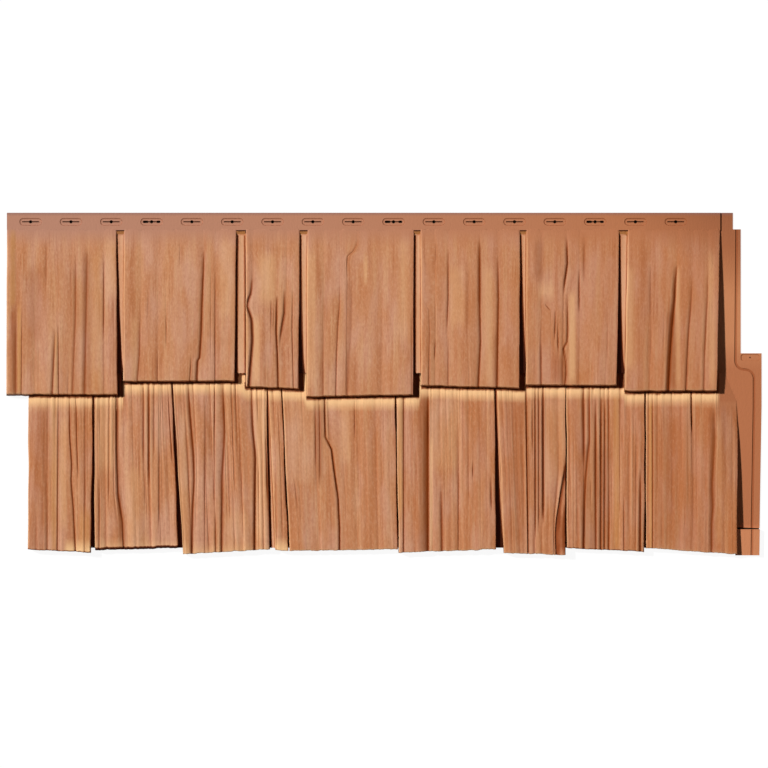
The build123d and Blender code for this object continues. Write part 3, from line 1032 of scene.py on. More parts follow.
LOWER_SHAKES = (
    Shake(
        87, 5.6, 2, 0.6, 8.8, -5, 19, (0.29, 0.46, 0.68), (0.8, 0.7, 0.8, 0.8),
        grooves=(
            Groove(((57, 222), (57, 8)), 0.5, 4, 2),
            Groove(((72, 225), (71, 8)), 0.7, 1.6, 1.6),
            Groove(((87, 225), (88, 165), (91, 126), (90, 105), (93, 68), (96, 8)), 1, 1.8, 1.8),
            Groove(((96, 222), (97, 198), (98, 152), (100, 105)), 0.8, 1.6, 1.6),
            Groove(((109, 225), (109, 8)), 0.7, 2.4, 2),
        ),
        streaks=(
            Streak((33, 57), (4, 205), RED, 0.25, 6),
            Streak((63, 70), (4, 225), OCHRE, 0.4, 3),
            Streak((75, 84), (40, 190), CREAM, 0.2, 4),
            Streak((102, 115), (4, 60), OCHRE, 0.35, 4),
            Streak((82, 120), (-20, 16), CREAM, 1, 6),
        ),
        foot_line=(0.8, 1.8), rough=0.5,
    ),
    Shake(
        115.8, 7, 2, -12.6, 7.4, 3.2, 16.6, (0.14, 0.3, 0.61, 0.9), (0.6, 0.7, 1.1, 1, 0.5),
        grooves=(
            Groove(((129, 110), (129, 8)), 1.1, 1.8, 1.8),
            Groove(((142, 240), (142, 60)), 0.5),
            Groove(((153, 240), (153, 147), (155, 84), (161, 48), (163, 8)), 1.6, 2.2, 3.6),
            Groove(((190, 236), (190, 126)), 0.9, 1.5, 1.5),
            Groove(((198, 240), (198, 126), (199, 95)), 1.1, 1.8, 1.8),
            Groove(((212, 240), (212, 30)), 0.6),
            Groove(((224, 245), (226, 198), (231, 120)), 1.2, 1.4, 1.2),
        ),
        streaks=(
            Streak((154, 160), (20, 90), BROWN, 0.45, 3),
            Streak((128, 150), (120, 210), CREAM, 0.25, 8),
            Streak((168, 186), (20, 120), CREAM, 0.2, 8),
            Streak((120, 250), (-20, 15), CREAM),
        ),
        foot_line=(2, 3.4), rough=0.75,
    ),
    Shake(
        119.6, 8.2, 2, -7.6, 1.6, 7.4, 18.6, (0.11, 0.27, 0.47, 0.82), (0.4, 0.7, 0.9, 1.1, 0.7),
        grooves=(
            Groove(((252, 240), (255, 199), (260, 141), (261, 105), (259, 63), (258, 2)), 1.7, 3.2, 2.6),
            Groove(((276, 236), (276, 2)), 0.6, 1.5, 1.5),
            Groove(((289, 236), (289, 70)), 0.8),
            Groove(((291, 60), (291, 2)), 0.8, 1.5, 1.5),
            Groove(((300, 240), (303, 173), (300, 110), (299, 2)), 1.4, 3, 2.8),
            Groove(((339, 232), (342, 175), (346, 136), (345, 6)), 1.9, 3, 2.4),
        ),
        streaks=(
            Streak((240, 252), (6, 200), CREAM, 0.15, 4),
            Streak((346, 362), (20, 220), CREAM, 0.3, 6),
            Streak((304, 336), (10, 60), CREAM, 0.15, 8),
            Streak((240, 370), (-20, 10), CREAM, 0.5),
        ),
        rough=0.9, stain_and_shade=(4.4, 2.4), raised=(4, 2),
    ),
    Shake(
        18, 2, 1.8, -10.8, 8.6, -2.2, 17.2, (), (0.9,),
        grooves=(Groove(((375, 124), (375, 8)), 0.4),),
        streaks=(Streak((370, 392), (-20, 18), CREAM, 0.9),),
        rough=0.8,
    ),
    Shake(
        149.6, 2.6, 1.8, -4, 6.2, 2.8, 18.2, (0.26, 0.45, 0.62, 0.82), (0.9, 0.6, 0.8, 0.9, 0.8),
        grooves=(
            Groove(((429, 211), (430, 120)), 0.7),
            Groove(((435, 211), (436, 94)), 0.8),
            Groove(((442, 240), (443, 165), (452, 147), (456, 115), (461, 81), (463, 40), (463, 8)),
                   1.7, 2, 2.2),
            Groove(((484, 218), (484, 157)), 0.7),
            Groove(((400, 110), (405, 60)), 0.5),
        ),
        streaks=(
            Streak((388, 424), (100, 225), CREAM, 0.12, 10),
            Streak((427, 440), (100, 225), BROWN, 0.4, 4),
            Streak((464, 478), (130, 225), CREAM, 0.2, 6),
        ),
        rough=0.35,
    ),
    Shake(
        134.4, 11.4, 2.4, -6.2, 4.2, 4.6, 19, (0.06, 0.29, 0.43, 0.61), (0.4, 1, 0.6, 0.8, 1.2),
        grooves=(
            Groove(((552, 236), (552, 4)), 0.8, 1.6, 1.6),
            Groove(((586, 222), (586, 4)), 1.7, 8, 2.2),
            Groove(((604, 94), (605, 4)), 1.3, 3, 3),
            Groove(((628, 180), (628, 6)), 0.55),
            Groove(((648, 128), (648, 108)), 0.9),
            Groove(((673, 110), (674, 60)), 1.1, 2.2, 2.2),
        ),
        streaks=(
            Streak((545, 551), (60, 230), OCHRE, 0.45, 3),
            Streak((572, 587), (4, 225), BROWN, 0.45, 5),
            Streak((588, 592), (10, 160), CREAM, 0.4),
            Streak((592, 630), (120, 220), CREAM, 0.15, 8),
        ),
        rough=0.5,
    ),
    Shake(
        85.4, 2, 1.8, -0.2, 3.8, -3, 18.4, (0.35, 0.63, 0.85), (1, 0.7, 0.8, 0.5),
        grooves=(
            Groove(((722, 240), (724, 95), (725, 4)), 1.7, 1.5, 1.5),
            Groove(((731, 217), (731, 140)), 1.1),
            Groove(((735, 236), (735, 20)), 1.4, 1.5, 1.5),
            Groove(((740, 236), (740, 30)), 1.2, 1.5, 1.5),
            Groove(((746, 240), (746, 42)), 2.3, 2.6, 2.4),
            Groove(((778, 134), (770, 84), (765, 53), (763, 29), (764, 4)), 2.2, 1.5, 7),
        ),
        streaks=(
            Streak((694, 718), (20, 220), RED, 0.3, 6),
            Streak((749, 772), (100, 220), CREAM, 0.12, 6),
            Streak((767, 782), (2, 60), DARK, 0.7, 2),
            Streak((773, 782), (60, 112), DARK, 0.7, 2),
        ),
        rough=0.6,
    ),
    Shake(
        107.6, 2.6, 2, 0.4, 10.4, -4.8, 17.8, (0.21, 0.33, 0.48, 0.62), (0.8, 0.5, 0.6, 0.6, 1.1),
        grooves=(
            Groove(((802, 236), (803, 120)), 1.5, 3.2, 3),
            Groove(((810, 240), (810, 160), (805, 105), (802, 8)), 1.5, 3.2, 2.4),
            Groove(((819, 225), (819, 8)), 1.4, 3, 2.4),
            Groove(((827, 220), (826, 8)), 1.4, 2.6, 2.2),
            Groove(((832, 215), (831, 8)), 1, 1.8, 1.8),
            Groove(((837, 220), (837, 8)), 0.8, 2, 1.6),
            Groove(((858, 84), (858, 8)), 0.9),
            Groove(((881, 120), (881, 8)), 1.7, 3, 2),
        ),
        streaks=(
            Streak((844, 852), (8, 236), OCHRE, 0.35, 4),
            Streak((798, 840), (8, 150), BROWN, 0.2, 6),
        ),
        foot_line=(0.6, 1.8), rough=0.8,
    ),
    Shake(
        126.4, 0, 0, 1.2, 10.6, -8.8, 16.8, (0.28, 0.5, 0.73), (0.9, 0.8, 0.9, 0.9),
        grooves=(
            Groove(((898, 226), (898, 8)), 0.9),
            Groove(((952, 232), (952, 200), (953, 168)), 2.2, 1.4, 1.6),
            Groove(((985, 205), (985, 160), (983, 134), (981, 95), (982, 68), (980, 44), (980, 4)),
                   1, 5, 3.4),
        ),
        streaks=(
            Streak((893.5, 897), (8, 226), OCHRE, 0.6, 2),
            Streak((976, 984), (8, 200), BROWN, 0.35, 3),
            Streak((986, 994), (20, 190), CREAM, 0.12, 4),
            Streak((900, 960), (20, 190), RED, 0.15, 8),
        ),
        head_fall=7.3, rough=0.5, plain_corner=(SIZES.upper_right, 198),
    ),
)


@dataclass(frozen=True)
class NailingFlange:
    """Flat strip along the top, with a slot in a sunk pad for each nail."""

    first_slot: float = 33.0
    pitch: float = 56.1
    count: int = 17
    drop: float = 12.6  # top edge to the middle of the slots
    slot_length: float = 24.5
    slot_width: float = 2.2
    eye_radius: float = 2.3
    pad_length: float = 31.0
    pad_height: float = 10.4
    pad_depth: float = 0.9
    locating: tuple[int, ...] = (3, 9, 14)
    locating_width: float = 3.4
    locating_left: float = 8.0
    locating_right: float = 5.6
    side_shade: float = 0.8  # painted shade on the sides of pads and slots, as a depth in mm
    rim_shade: float = 0.2  # the same on the rim of a pad's floor, as painted shadow
    rim_width: float = 0.4
    rim_shift: float = 0.6  # how much wider the rim is on the left and at the top, where the painted shadow of its side lies
    pad_draft: float = 0.9  # how far a pad's sides lean in, down to its floor
    slot_draft: float = 0.6  # the same for a slot, down to the flange's back

    def stock(self) -> Solid:
        """The strip itself."""
        low = (0.0, SIZES.upper_head - SIZES.flange_overlap, BASE)
        return block(low, (SIZES.upper_head_right, SIZES.height, SIZES.flange_front))

    def slots_x(self) -> list[float]:
        """Middle of each slot along the panel."""
        return [self.first_slot + self.pitch * i for i in range(self.count)]

    def cuts(self) -> list[Solid]:
        """Pads, slots and round eyes.

        Returns:
            The blocks to cut.
        """
        y = SIZES.height - self.drop
        pad_floor = SIZES.flange_front - self.pad_depth
        through = SIZES.flange_back - CUT
        reach = self.slot_length / 2
        solids = []
        for i, x in enumerate(self.slots_x()):
            rim = self.sunk((x, y), self.pad_length, self.pad_height, pad_floor + RIM_STEP, self.pad_draft)
            # the pad's rim is painted as the shadow of its side
            rim.stain_and_shade[:, 0] = np.maximum(rim.stain_and_shade[:, 0], self.rim_shade)
            inset = 2 * (self.pad_draft + self.rim_width)
            inner = (x + self.rim_shift, y - self.rim_shift)
            eye = 2 * self.eye_radius
            solids += [
                rim,
                self.sunk(inner, self.pad_length - inset, self.pad_height - inset, pad_floor, 0.0),
                self.sunk((x, y), self.slot_length, self.slot_width, through, self.slot_draft),
                self.sunk((x, y), eye + HAIR, eye, through, 0.0),
            ]
            if i in self.locating:
                ends = ((x - reach + self.locating_left / 2, self.locating_left),
                        (x + reach - self.locating_right / 2, self.locating_right))
                for middle, length in ends:
                    solids.append(self.sunk((middle, y), length, self.locating_width, through, 0.0))
        return solids

    def sunk(self, middle: Point, length: float, height: float, floor: float, draft: float) -> Solid:
        """What is taken out for a pad or a slot with round ends.

        Args:
            middle: Its middle.
            length: Its length at the front.
            height: Its height at the front.
            floor: Level that it is cut down to.
            draft: How far its sides lean in down to the flange's back, or to the floor if that is nearer.

        Returns:
            The block to cut.
        """
        front = SIZES.flange_front
        lean = 2 * draft / (front - max(floor, SIZES.flange_back))
        top = stadium(middle, length + lean * CUT, height + lean * CUT)
        inset = lean * (front - floor)
        room = prism(top, floor, front + CUT, 0.0, stadium(middle, length - inset, height - inset))
        # the sides are painted darker as shade
        room.stain_and_shade[len(top):, 0] = self.side_shade
        return room


@dataclass(frozen=True)
class LapFlange:
    """Thin flange at the right end: a strip beside the upper course and an ear beside the lower one."""

    step: float = 17.9  # what is left of it beside the nailing flange
    ear_height: float = 281.0
    taper_height: float = 208.0
    taper: float = 3.4
    pad_length: float = 26.0
    pad_height: float = 9.6
    pad_margin: float = 3.0
    pad_depth: float = 0.9
    pilot_radius: float = 1.1
    slit_inner: float = 2.6
    slit_outer: float = 1.2
    drain_width: float = 3.4
    drain_depth: float = 1.2
    drain_margin: float = 7.4
    drain_lean: float = 1.6
    drain_ear_margin: float = 10.6
    drain_level: float = 260.0
    bend_radius: float = 12.0
    side_shade: float = 1.3  # painted shade on the sides of the pad and the groove, as a depth in mm
    # painted shade on the floors of the pad and the groove
    floor_shade: float = 0.25
    drain_ochre: float = -0.3  # how ochre the groove is, or red below zero
    rim_width: float = 0.9  # width of the rim of the pad's floor, painted as shadow
    rim_shift: float = 0.5  # how much wider it is on the left and at the top, where the painted shadow of the pad's side lies

    def stock(self) -> tuple[Solid, Solid]:
        """The flange's own material.

        Returns:
            The flange and the ear's raised foot.
        """
        inner = SIZES.upper_right - 2 * SIZES.wall
        right = SIZES.ear_right
        narrow = SIZES.upper_head_right + self.step
        flange = [
            (inner, 0.0), (right - self.taper, 0.0), (right, self.taper_height), (right, self.ear_height),
            (SIZES.lap_right, self.ear_height), (SIZES.lap_right, SIZES.upper_head),
            (narrow, SIZES.upper_head), (narrow, SIZES.height), (inner, SIZES.height),
        ]
        top = SIZES.shoulder_top
        foot_inner = SIZES.lower_right - SIZES.wall
        foot = [
            (foot_inner, 0.0), (right - self.taper, 0.0),
            (right - self.taper * (1 - top / self.taper_height), top), (foot_inner, top),
        ]
        return prism(flange, BASE, SIZES.wall), prism(foot, BASE, SIZES.foot_front)

    def drain_line(self) -> list[Point]:
        """Middle line of the drain groove.

        Returns:
            Its points from the top down, with round bends.
        """
        lap_x = SIZES.lap_right - self.drain_margin
        ear_x = SIZES.ear_right - self.drain_ear_margin
        corners = [
            (lap_x + self.drain_lean, SIZES.upper_head + CUT), (lap_x, self.drain_level),
            (ear_x, self.drain_level - self.drain_width), (ear_x, self.taper_height),
            (ear_x - self.taper, -CUT),
        ]
        line = [corners[0]]
        for before, corner, after in zip(corners, corners[1:], corners[2:]):
            line += rounded_corner(before, corner, after, self.bend_radius)
        return line + [corners[-1]]

    def cuts(self) -> list[Solid]:
        """The ear's sunk pad with its pilot mark, the slit above its foot, and the drain groove.

        Returns:
            The blocks to cut.
        """
        front = SIZES.wall
        middle = (SIZES.ear_right - self.pad_margin - self.pad_length / 2,
                  self.ear_height - SIZES.wall / 2 - self.pad_height / 2)
        top, outside = SIZES.shoulder_top, SIZES.ear_right + CUT
        inside = SIZES.lower_right + SIZES.wall / 2
        slit = [(inside, top), (outside, top), (outside, top + self.slit_outer),
                (inside, top + self.slit_inner)]
        pilot = prism(stadium(middle, 2 * self.pilot_radius + HAIR, 2 * self.pilot_radius, steps=8),
                      front - 2 * self.pad_depth, front)
        # the pilot mark is painted dark as shade
        pilot.stain_and_shade[:, 0] = self.side_shade
        inner = (middle[0] + self.rim_shift, middle[1] - self.rim_shift)
        radius = self.pad_height / 3
        line = self.drain_line()
        on_flange = [*(point for point in line if point[1] > top), (line_at(line, top), top)]
        on_foot = [(line_at(line, top + CUT), top + CUT), *(point for point in line if point[1] < top)]
        return [
            self.stained_and_shaded(rounded_box(middle, self.pad_length, self.pad_height, radius), front,
                         self.pad_depth - RIM_STEP, 0.0),
            prism(rounded_box(inner, self.pad_length - 2 * self.rim_width,
                              self.pad_height - 2 * self.rim_width, radius), front - self.pad_depth, front),
            pilot,
            prism(slit, BASE - CUT, front + CUT),
            self.stained_and_shaded(ribbon(on_flange, self.drain_width), front, self.drain_depth, self.drain_ochre),
            self.stained_and_shaded(ribbon(on_foot, self.drain_width), SIZES.foot_front, self.drain_depth,
                         self.drain_ochre),
        ]

    def stained_and_shaded(self, outline: Sequence[Point], front: float, depth: float, ochre: float) -> Solid:
        """What is taken out for a pad or a groove, with painted shade on its sides and its floor.

        Args:
            outline: Its outline.
            front: Level of the face that it is cut into.
            depth: How deep it is.
            ochre: How ochre its floor is, or red below zero.

        Returns:
            The block to cut.
        """
        room = prism(outline, front - depth, front + CUT)
        count = len(outline)
        room.stain_and_shade[:count, 0] = self.floor_shade
        room.stain_and_shade[:count, 1] = ochre
        room.stain_and_shade[count:, 0] = self.side_shade
        return room


def rounded_corner(before: Point, corner: Point, after: Point, radius: float, steps: int = 8) -> list[Point]:
    """Points of an arc that rounds a corner of a line.

    Args:
        before: The corner before this one.
        corner: The corner to round.
        after: The corner after it.
        radius: Radius of the arc.
        steps: How many runs the arc has.

    Returns:
        The points of the arc in order.
    """
    here = np.array(corner, float)
    back = np.array(before, float) - here
    on = np.array(after, float) - here
    back /= np.linalg.norm(back)
    on /= np.linalg.norm(on)
    half = math.acos(float(np.clip(back @ on, -1, 1))) / 2
    setback = radius / math.tan(half)
    centre = here + (back + on) / np.linalg.norm(back + on) * radius / math.sin(half)
    start = here + back * setback - centre
    end = here + on * setback - centre
    turn = math.atan2(start[0] * end[1] - start[1] * end[0], float(start @ end))
    points = []
    for i in range(steps + 1):
        angle = turn * i / steps
        x = centre[0] + start[0] * math.cos(angle) - start[1] * math.sin(angle)
        y = centre[1] + start[0] * math.sin(angle) + start[1] * math.cos(angle)
        points.append((x, y))
    return points


def rounded_box(middle: Point, length: float, height: float, radius: float) -> list[Point]:
    """Outline of a rectangle with round corners.

    Args:
        middle: Its middle.
        length: Its length.
        height: Its height.
        radius: Radius of its corners.

    Returns:
        Its corners, anticlockwise.
    """
    x0, x1 = middle[0] - length / 2, middle[0] + length / 2
    y0, y1 = middle[1] - height / 2, middle[1] + height / 2
    corners = [(x0, y0), (x1, y0), (x1, y1), (x0, y1)]
    outline = []
    for i, corner in enumerate(corners):
        outline += rounded_corner(corners[i - 1], corner, corners[(i + 1) % 4], radius, steps=5)
    return outline


def ribbon(line: Sequence[Point], width: float) -> list[Point]:
    """Outline of a band along a line that runs down.

    Args:
        line: Its middle line.
        width: Its width.

    Returns:
        Its corners, anticlockwise.
    """
    points = np.array(line, float)
    run = np.gradient(points, axis=0)
    run /= np.linalg.norm(run, axis=1)[:, None]
    side = np.stack([-run[:, 1], run[:, 0]], -1) * width / 2
    left, right = points + side, points - side
    return [tuple(point) for point in np.concatenate([right, left[::-1]]).tolist()]


@dataclass(frozen=True)
class Back:
    """Hollow, ribs and lock behind the faces."""

    rib_thickness: float = 1.8
    rib_every: int = 2
    cross_rib: float = 345.0
    rib_top: float = 26.0
    tab_length: float = 42.0
    tab_thickness: float = 2.0
    tab_reach: float = 18.0
    upper_floor_toe: float = 9.2
    upper_floor_knee: float = 7.6
    knee_height: float = 355.0
    lower_floor_toe: float = 10.4
    lower_floor_head: float = 5.2
    lower_toe: float = 10.6
    cap_length: float = 8.5  # how far the nailing flange slopes down into each keyway's head
    cap_drop: float = 0.4
    cap_step: float = 0.1  # over how much of its height it comes up to the dark line
    cap_line: float = 1.5  # width of the painted shadow line at its top
    cap_shade: float = 0.36  # painted shade below that, as a depth in mm
    cap_lean: float = 0.8  # how ochre it is
    floor_shade: float = 1.6  # darkest painted shadow in the keyways, as a depth in mm
    floor_highlight: float = -0.8  # painted highlight on what lies beside it, which is lighter than the rest
    floor_skin: float = 0.06  # how far the strip with the painted shade stands out of the floor
    floor_soft: float = 1.6  # over how much of its width the painted shadow ends
    floor_rows: int = 12
    floor_columns: tuple[float, ...] = (0.5, 0.9, 1.15)  # shares of the painted shadow's width
    right_line: float = 2.2  # width of the painted shade line along the shake on the right
    right_shade: float = 0.6  # its share of the painted shadow

    def slopes(self, meeting: float, depth: float = 0.0) -> tuple[list[Point], list[Point]]:
        """Height and level of the keyway floors of the upper and the lower course.

        Args:
            meeting: Height at which the floors of the two courses meet.
            depth: How far behind the faces of the floors the slopes lie.

        Returns:
            Both slopes, from toe to head.
        """
        upper = [(meeting, self.upper_floor_toe), (self.knee_height, self.upper_floor_knee),
                 (SIZES.upper_head, SIZES.wall)]
        lower = [(self.lower_toe + depth, self.lower_floor_toe), (meeting, self.lower_floor_head)]
        return [(y, z - depth) for y, z in upper], [(y, z - depth) for y, z in lower]

    def floor_blocks(self, margin: float, slopes: Iterable[list[Point]], base: float,
                     grain: float) -> list[Solid]:
        """The floors of the keyways of both courses, or the room behind them.

        Args:
            margin: How far inside the sides of a course its floor ends.
            slopes: Slope of each course's block.
            base: Back of the blocks.
            grain: How strong the wood grain is on them.

        Returns:
            A block for each course.
        """
        spans = (
            (margin, SIZES.upper_right - UPPER_SHAKES[-1].width + 2 * margin),
            (SIZES.lower_inset + margin, SIZES.lower_right - LOWER_SHAKES[-1].width + 2 * margin),
        )
        return [sloping_block(span, slope, base, grain) for span, slope in zip(spans, slopes)]

    def floors(self) -> list[Solid]:
        """The skin behind the keyways of both courses."""
        return self.floor_blocks(SIZES.wall / 2, self.slopes(SIZES.lower_head), BASE, 1.0)

    def floor_hollows(self) -> list[Solid]:
        """The room behind those skins and the nailing flange.

        Returns:
            The blocks to cut.
        """
        wall = SIZES.wall
        behind_flange = block((-CUT, SIZES.upper_head + wall, UNDER),
                              (SIZES.upper_head_right - wall, SIZES.height + CUT, SIZES.flange_back))
        return [*self.floor_blocks(wall, self.slopes(SIZES.floor_join, wall), UNDER, 0.0), behind_flange]

    def keyway_caps(self, course: Course) -> list[Solid]:
        """Slopes at the heads of the keyways, ochre with painted shade, and with a painted shadow line at the
        top.

        Args:
            course: The upper course.

        Returns:
            A block for each keyway.
        """
        caps = []
        head = SIZES.upper_head - SIZES.flange_overlap
        for left, right in zip(course.faces, course.faces[1:]):
            side = SIZES.wall / 2
            top = SIZES.flange_front - self.cap_drop
            line = head - self.cap_line
            cap = sloping_block((left.head_right - side, right.head_left + side), [
                (head - self.cap_length, SIZES.wall - CUT), (line - self.cap_step, top), (line, top),
                (head + CUT, top),
            ], BASE, 1.0)
            # the top strip is painted as shadow, the slope below as ochre with painted shade
            dark = cap.points[:, 1] >= line
            cap.stain_and_shade[:, 0] = np.where(dark, self.floor_shade, self.cap_shade)
            cap.stain_and_shade[:, 1] = np.where(dark, 0.0, self.cap_lean)
            caps.append(cap)
        return caps

    def shaded_floors(self, course: Course, slope: Sequence[Point]) -> list[Solid]:
        """Strips on the floors of a course's keyways, with painted shadow beside the shake on the left and
        painted highlight beyond it.

        Args:
            course: The course.
            slope: Height and level of the floor.

        Returns:
            A strip for each keyway.
        """
        strips = []
        y = np.linspace(slope[0][0], slope[-1][0] - self.cap_length, self.floor_rows)
        y = np.sort(np.append(y, [knot for knot, _ in slope[1:-1]]))
        level = np.interp(y, *zip(*slope)) + self.floor_skin
        up = (y - y[0]) / (y[-1] - y[0])
        for left, right in zip(course.faces, course.faces[1:]):
            foot, head = left.shake.stain_and_shade
            stained_and_shaded = foot + (head - foot) * np.sqrt(up)
            z = level + np.interp(up, (0.0, 0.5, 1.0), (*left.shake.raised, 0.0))
            start, end = left.edges(y)[1], right.edges(y)[0]
            side = SIZES.wall / 2
            columns = [start + stained_and_shaded * share for share in self.floor_columns]
            aside = np.stack([start - side, start, *columns, end - self.right_line, end, end + side], 1)
            aside = np.maximum.accumulate(np.minimum(aside, (end + side)[:, None]), 1)
            aside += np.arange(aside.shape[1]) * HAIR
            # painted shadow near the left shake, painted highlight beyond it, and a painted shade line along
            # the right one
            amount = np.clip(((start + stained_and_shaded)[:, None] - aside) / self.floor_soft + 0.5, 0, 1)
            amount[:, -2:] = np.maximum(amount[:, -2:], self.right_shade)
            stain_and_shade = self.floor_highlight + amount * (self.floor_shade - self.floor_highlight)
            across = np.tile(y[:, None], aside.shape[1])
            strip = wedge(aside, across, np.tile(z[:, None], aside.shape[1]), BASE)
            strip.stain_and_shade[:aside.size, 0] = stain_and_shade.ravel()
            strips.append(strip)
        return strips

    def ribs_x(self, slots_x: Sequence[float], pitch: float) -> list[float]:
        """Middle of each upright rib."""
        places = [x + pitch / 2 for x in slots_x[::self.rib_every]]
        return [x for x in places if x < SIZES.upper_right - SIZES.wall]

    def ribs(self, ribs_x: Sequence[float]) -> list[Solid]:
        """What the hollow leaves standing.

        Args:
            ribs_x: Middle of each upright rib.

        Returns:
            Those ribs, one level rib, the lock's shoulder, and the wall at the head of the lower course
            beside the upper one.
        """
        half = self.rib_thickness / 2
        under, top = UNDER - CUT, self.rib_top
        spans = []
        for x in ribs_x:
            spans += [((x - half, SIZES.lock_depth, under), (x + half, SIZES.height + CUT, top)),
                      ((x - half, 0.0, SIZES.lock_front), (x + half, SIZES.lock_depth, top))]
        spans += [
            ((SIZES.lap_cover, self.cross_rib - half, under),
             (SIZES.upper_right, self.cross_rib + half, top)),
            ((SIZES.lower_inset + SIZES.lap_cover, SIZES.lock_depth, under),
             (SIZES.lower_right, SIZES.shoulder_top, top)),
            ((SIZES.upper_right - SIZES.wall, SIZES.lower_head - SIZES.wall, under),
             (SIZES.lower_right, SIZES.floor_join + CUT, top)),
        ]
        return [block(low, high) for low, high in spans]

    def tabs(self, ribs_x: Sequence[float]) -> list[Solid]:
        """Tabs that hold the nailing flange of the panel below.

        Args:
            ribs_x: Middle of each upright rib.

        Returns:
            A tab between each two ribs.
        """
        half = self.tab_length / 2
        middles = [(left + right) / 2 for left, right in zip(ribs_x, ribs_x[1:])]
        low, high = SIZES.lock_depth - self.tab_reach, SIZES.lock_depth + CUT
        return [block((x - half, low, BASE - CUT), (x + half, high, self.tab_thickness)) for x in middles]

    def channel(self) -> Solid:
        """Channel behind the lower butts."""
        return block((-2 * CUT, -2 * CUT, UNDER), (SIZES.ear_right + CUT, SIZES.lock_depth, SIZES.lock_front))

    def lap_rooms(self) -> list[Solid]:
        """Room under the left end for the neighbour's lap flange, ear and raised foot.

        Returns:
            The blocks to cut.
        """
        step = SIZES.lower_inset + SIZES.lap_cover
        return [
            block((-2 * CUT, SIZES.lower_head - SIZES.wall, UNDER),
                  (SIZES.lap_cover, SIZES.height + CUT, SIZES.flange_back)),
            block((-2 * CUT, SIZES.lock_depth, UNDER), (step, SIZES.lower_head, SIZES.flange_back)),
            block((SIZES.lower_inset - 4 * CUT, -2 * CUT, UNDER),
                  (step, SIZES.shoulder_top + SIZES.lap_clearance, SIZES.foot_front + SIZES.lap_clearance)),
        ]


def join(target: bpy.types.Object, solids: Iterable[Solid | bpy.types.Object], operation: str) -> None:
    """Unites or cuts one object with several solids, and removes them.

    Args:
        target: The object to change.
        solids: What is united with it or cut from it.
        operation: UNION or DIFFERENCE.
    """
    tools = bpy.data.collections.new("tools")
    bpy.context.scene.collection.children.link(tools)
    things = [solid.to_object("tool") if isinstance(solid, Solid) else solid for solid in solids]
    for thing in things:
        tools.objects.link(thing)
    change = target.modifiers.new("join", "BOOLEAN")
    change.operation = operation
    change.solver = "MANIFOLD"
    change.operand_type = "COLLECTION"
    change.collection = tools
    result = target.evaluated_get(bpy.context.evaluated_depsgraph_get())
    mesh = bpy.data.meshes.new_from_object(result)
    target.modifiers.clear()
    target.data = mesh
    for thing in things:
        bpy.data.objects.remove(thing)
    bpy.data.collections.remove(tools)


def linear(code: str) -> tuple[float, float, float, float]:
    """Turns an sRGB colour to linear.

    Args:
        code: The colour in hex.

    Returns:
        Its linear red, green, blue and alpha.
    """
    parts = [int(code[i:i + 2], 16) / 255 for i in (1, 3, 5)]
    values = [part / 12.92 if part <= 0.04045 else ((part + 0.055) / 1.055) ** 2.4 for part in parts]
    return values[0], values[1], values[2], 1.0


def add_node(tree: Tree, kind: str, settings: dict | None = None, **links: object) -> bpy.types.Node:
    """Adds a node with its settings, values and links.

    Args:
        tree: The node tree.
        kind: Type of the shader node.
        settings: Attributes of the node to set.
        links: For each input, by name or as i0, i1 and so on, a value or an output to link.

    Returns:
        The new node.
    """
    node = tree.nodes.new("ShaderNode" + kind)
    for name, value in (settings or {}).items():
        setattr(node, name, value)
    for name, value in links.items():
        socket = node.inputs[int(name[1:])] if name[1:].isdigit() else node.inputs[name.replace("_", " ")]
        if isinstance(value, Socket):
            tree.links.new(value, socket)
        else:
            socket.default_value = value
    return node


@dataclass(frozen=True)
class Coat:
    """A colour that lies over the others where a value of the surface is in its range."""

    value: str  # name of the value
    low: float  # where the coat starts
    high: float  # where it is at its strongest
    amount: float  # how strong that is
    colour: str


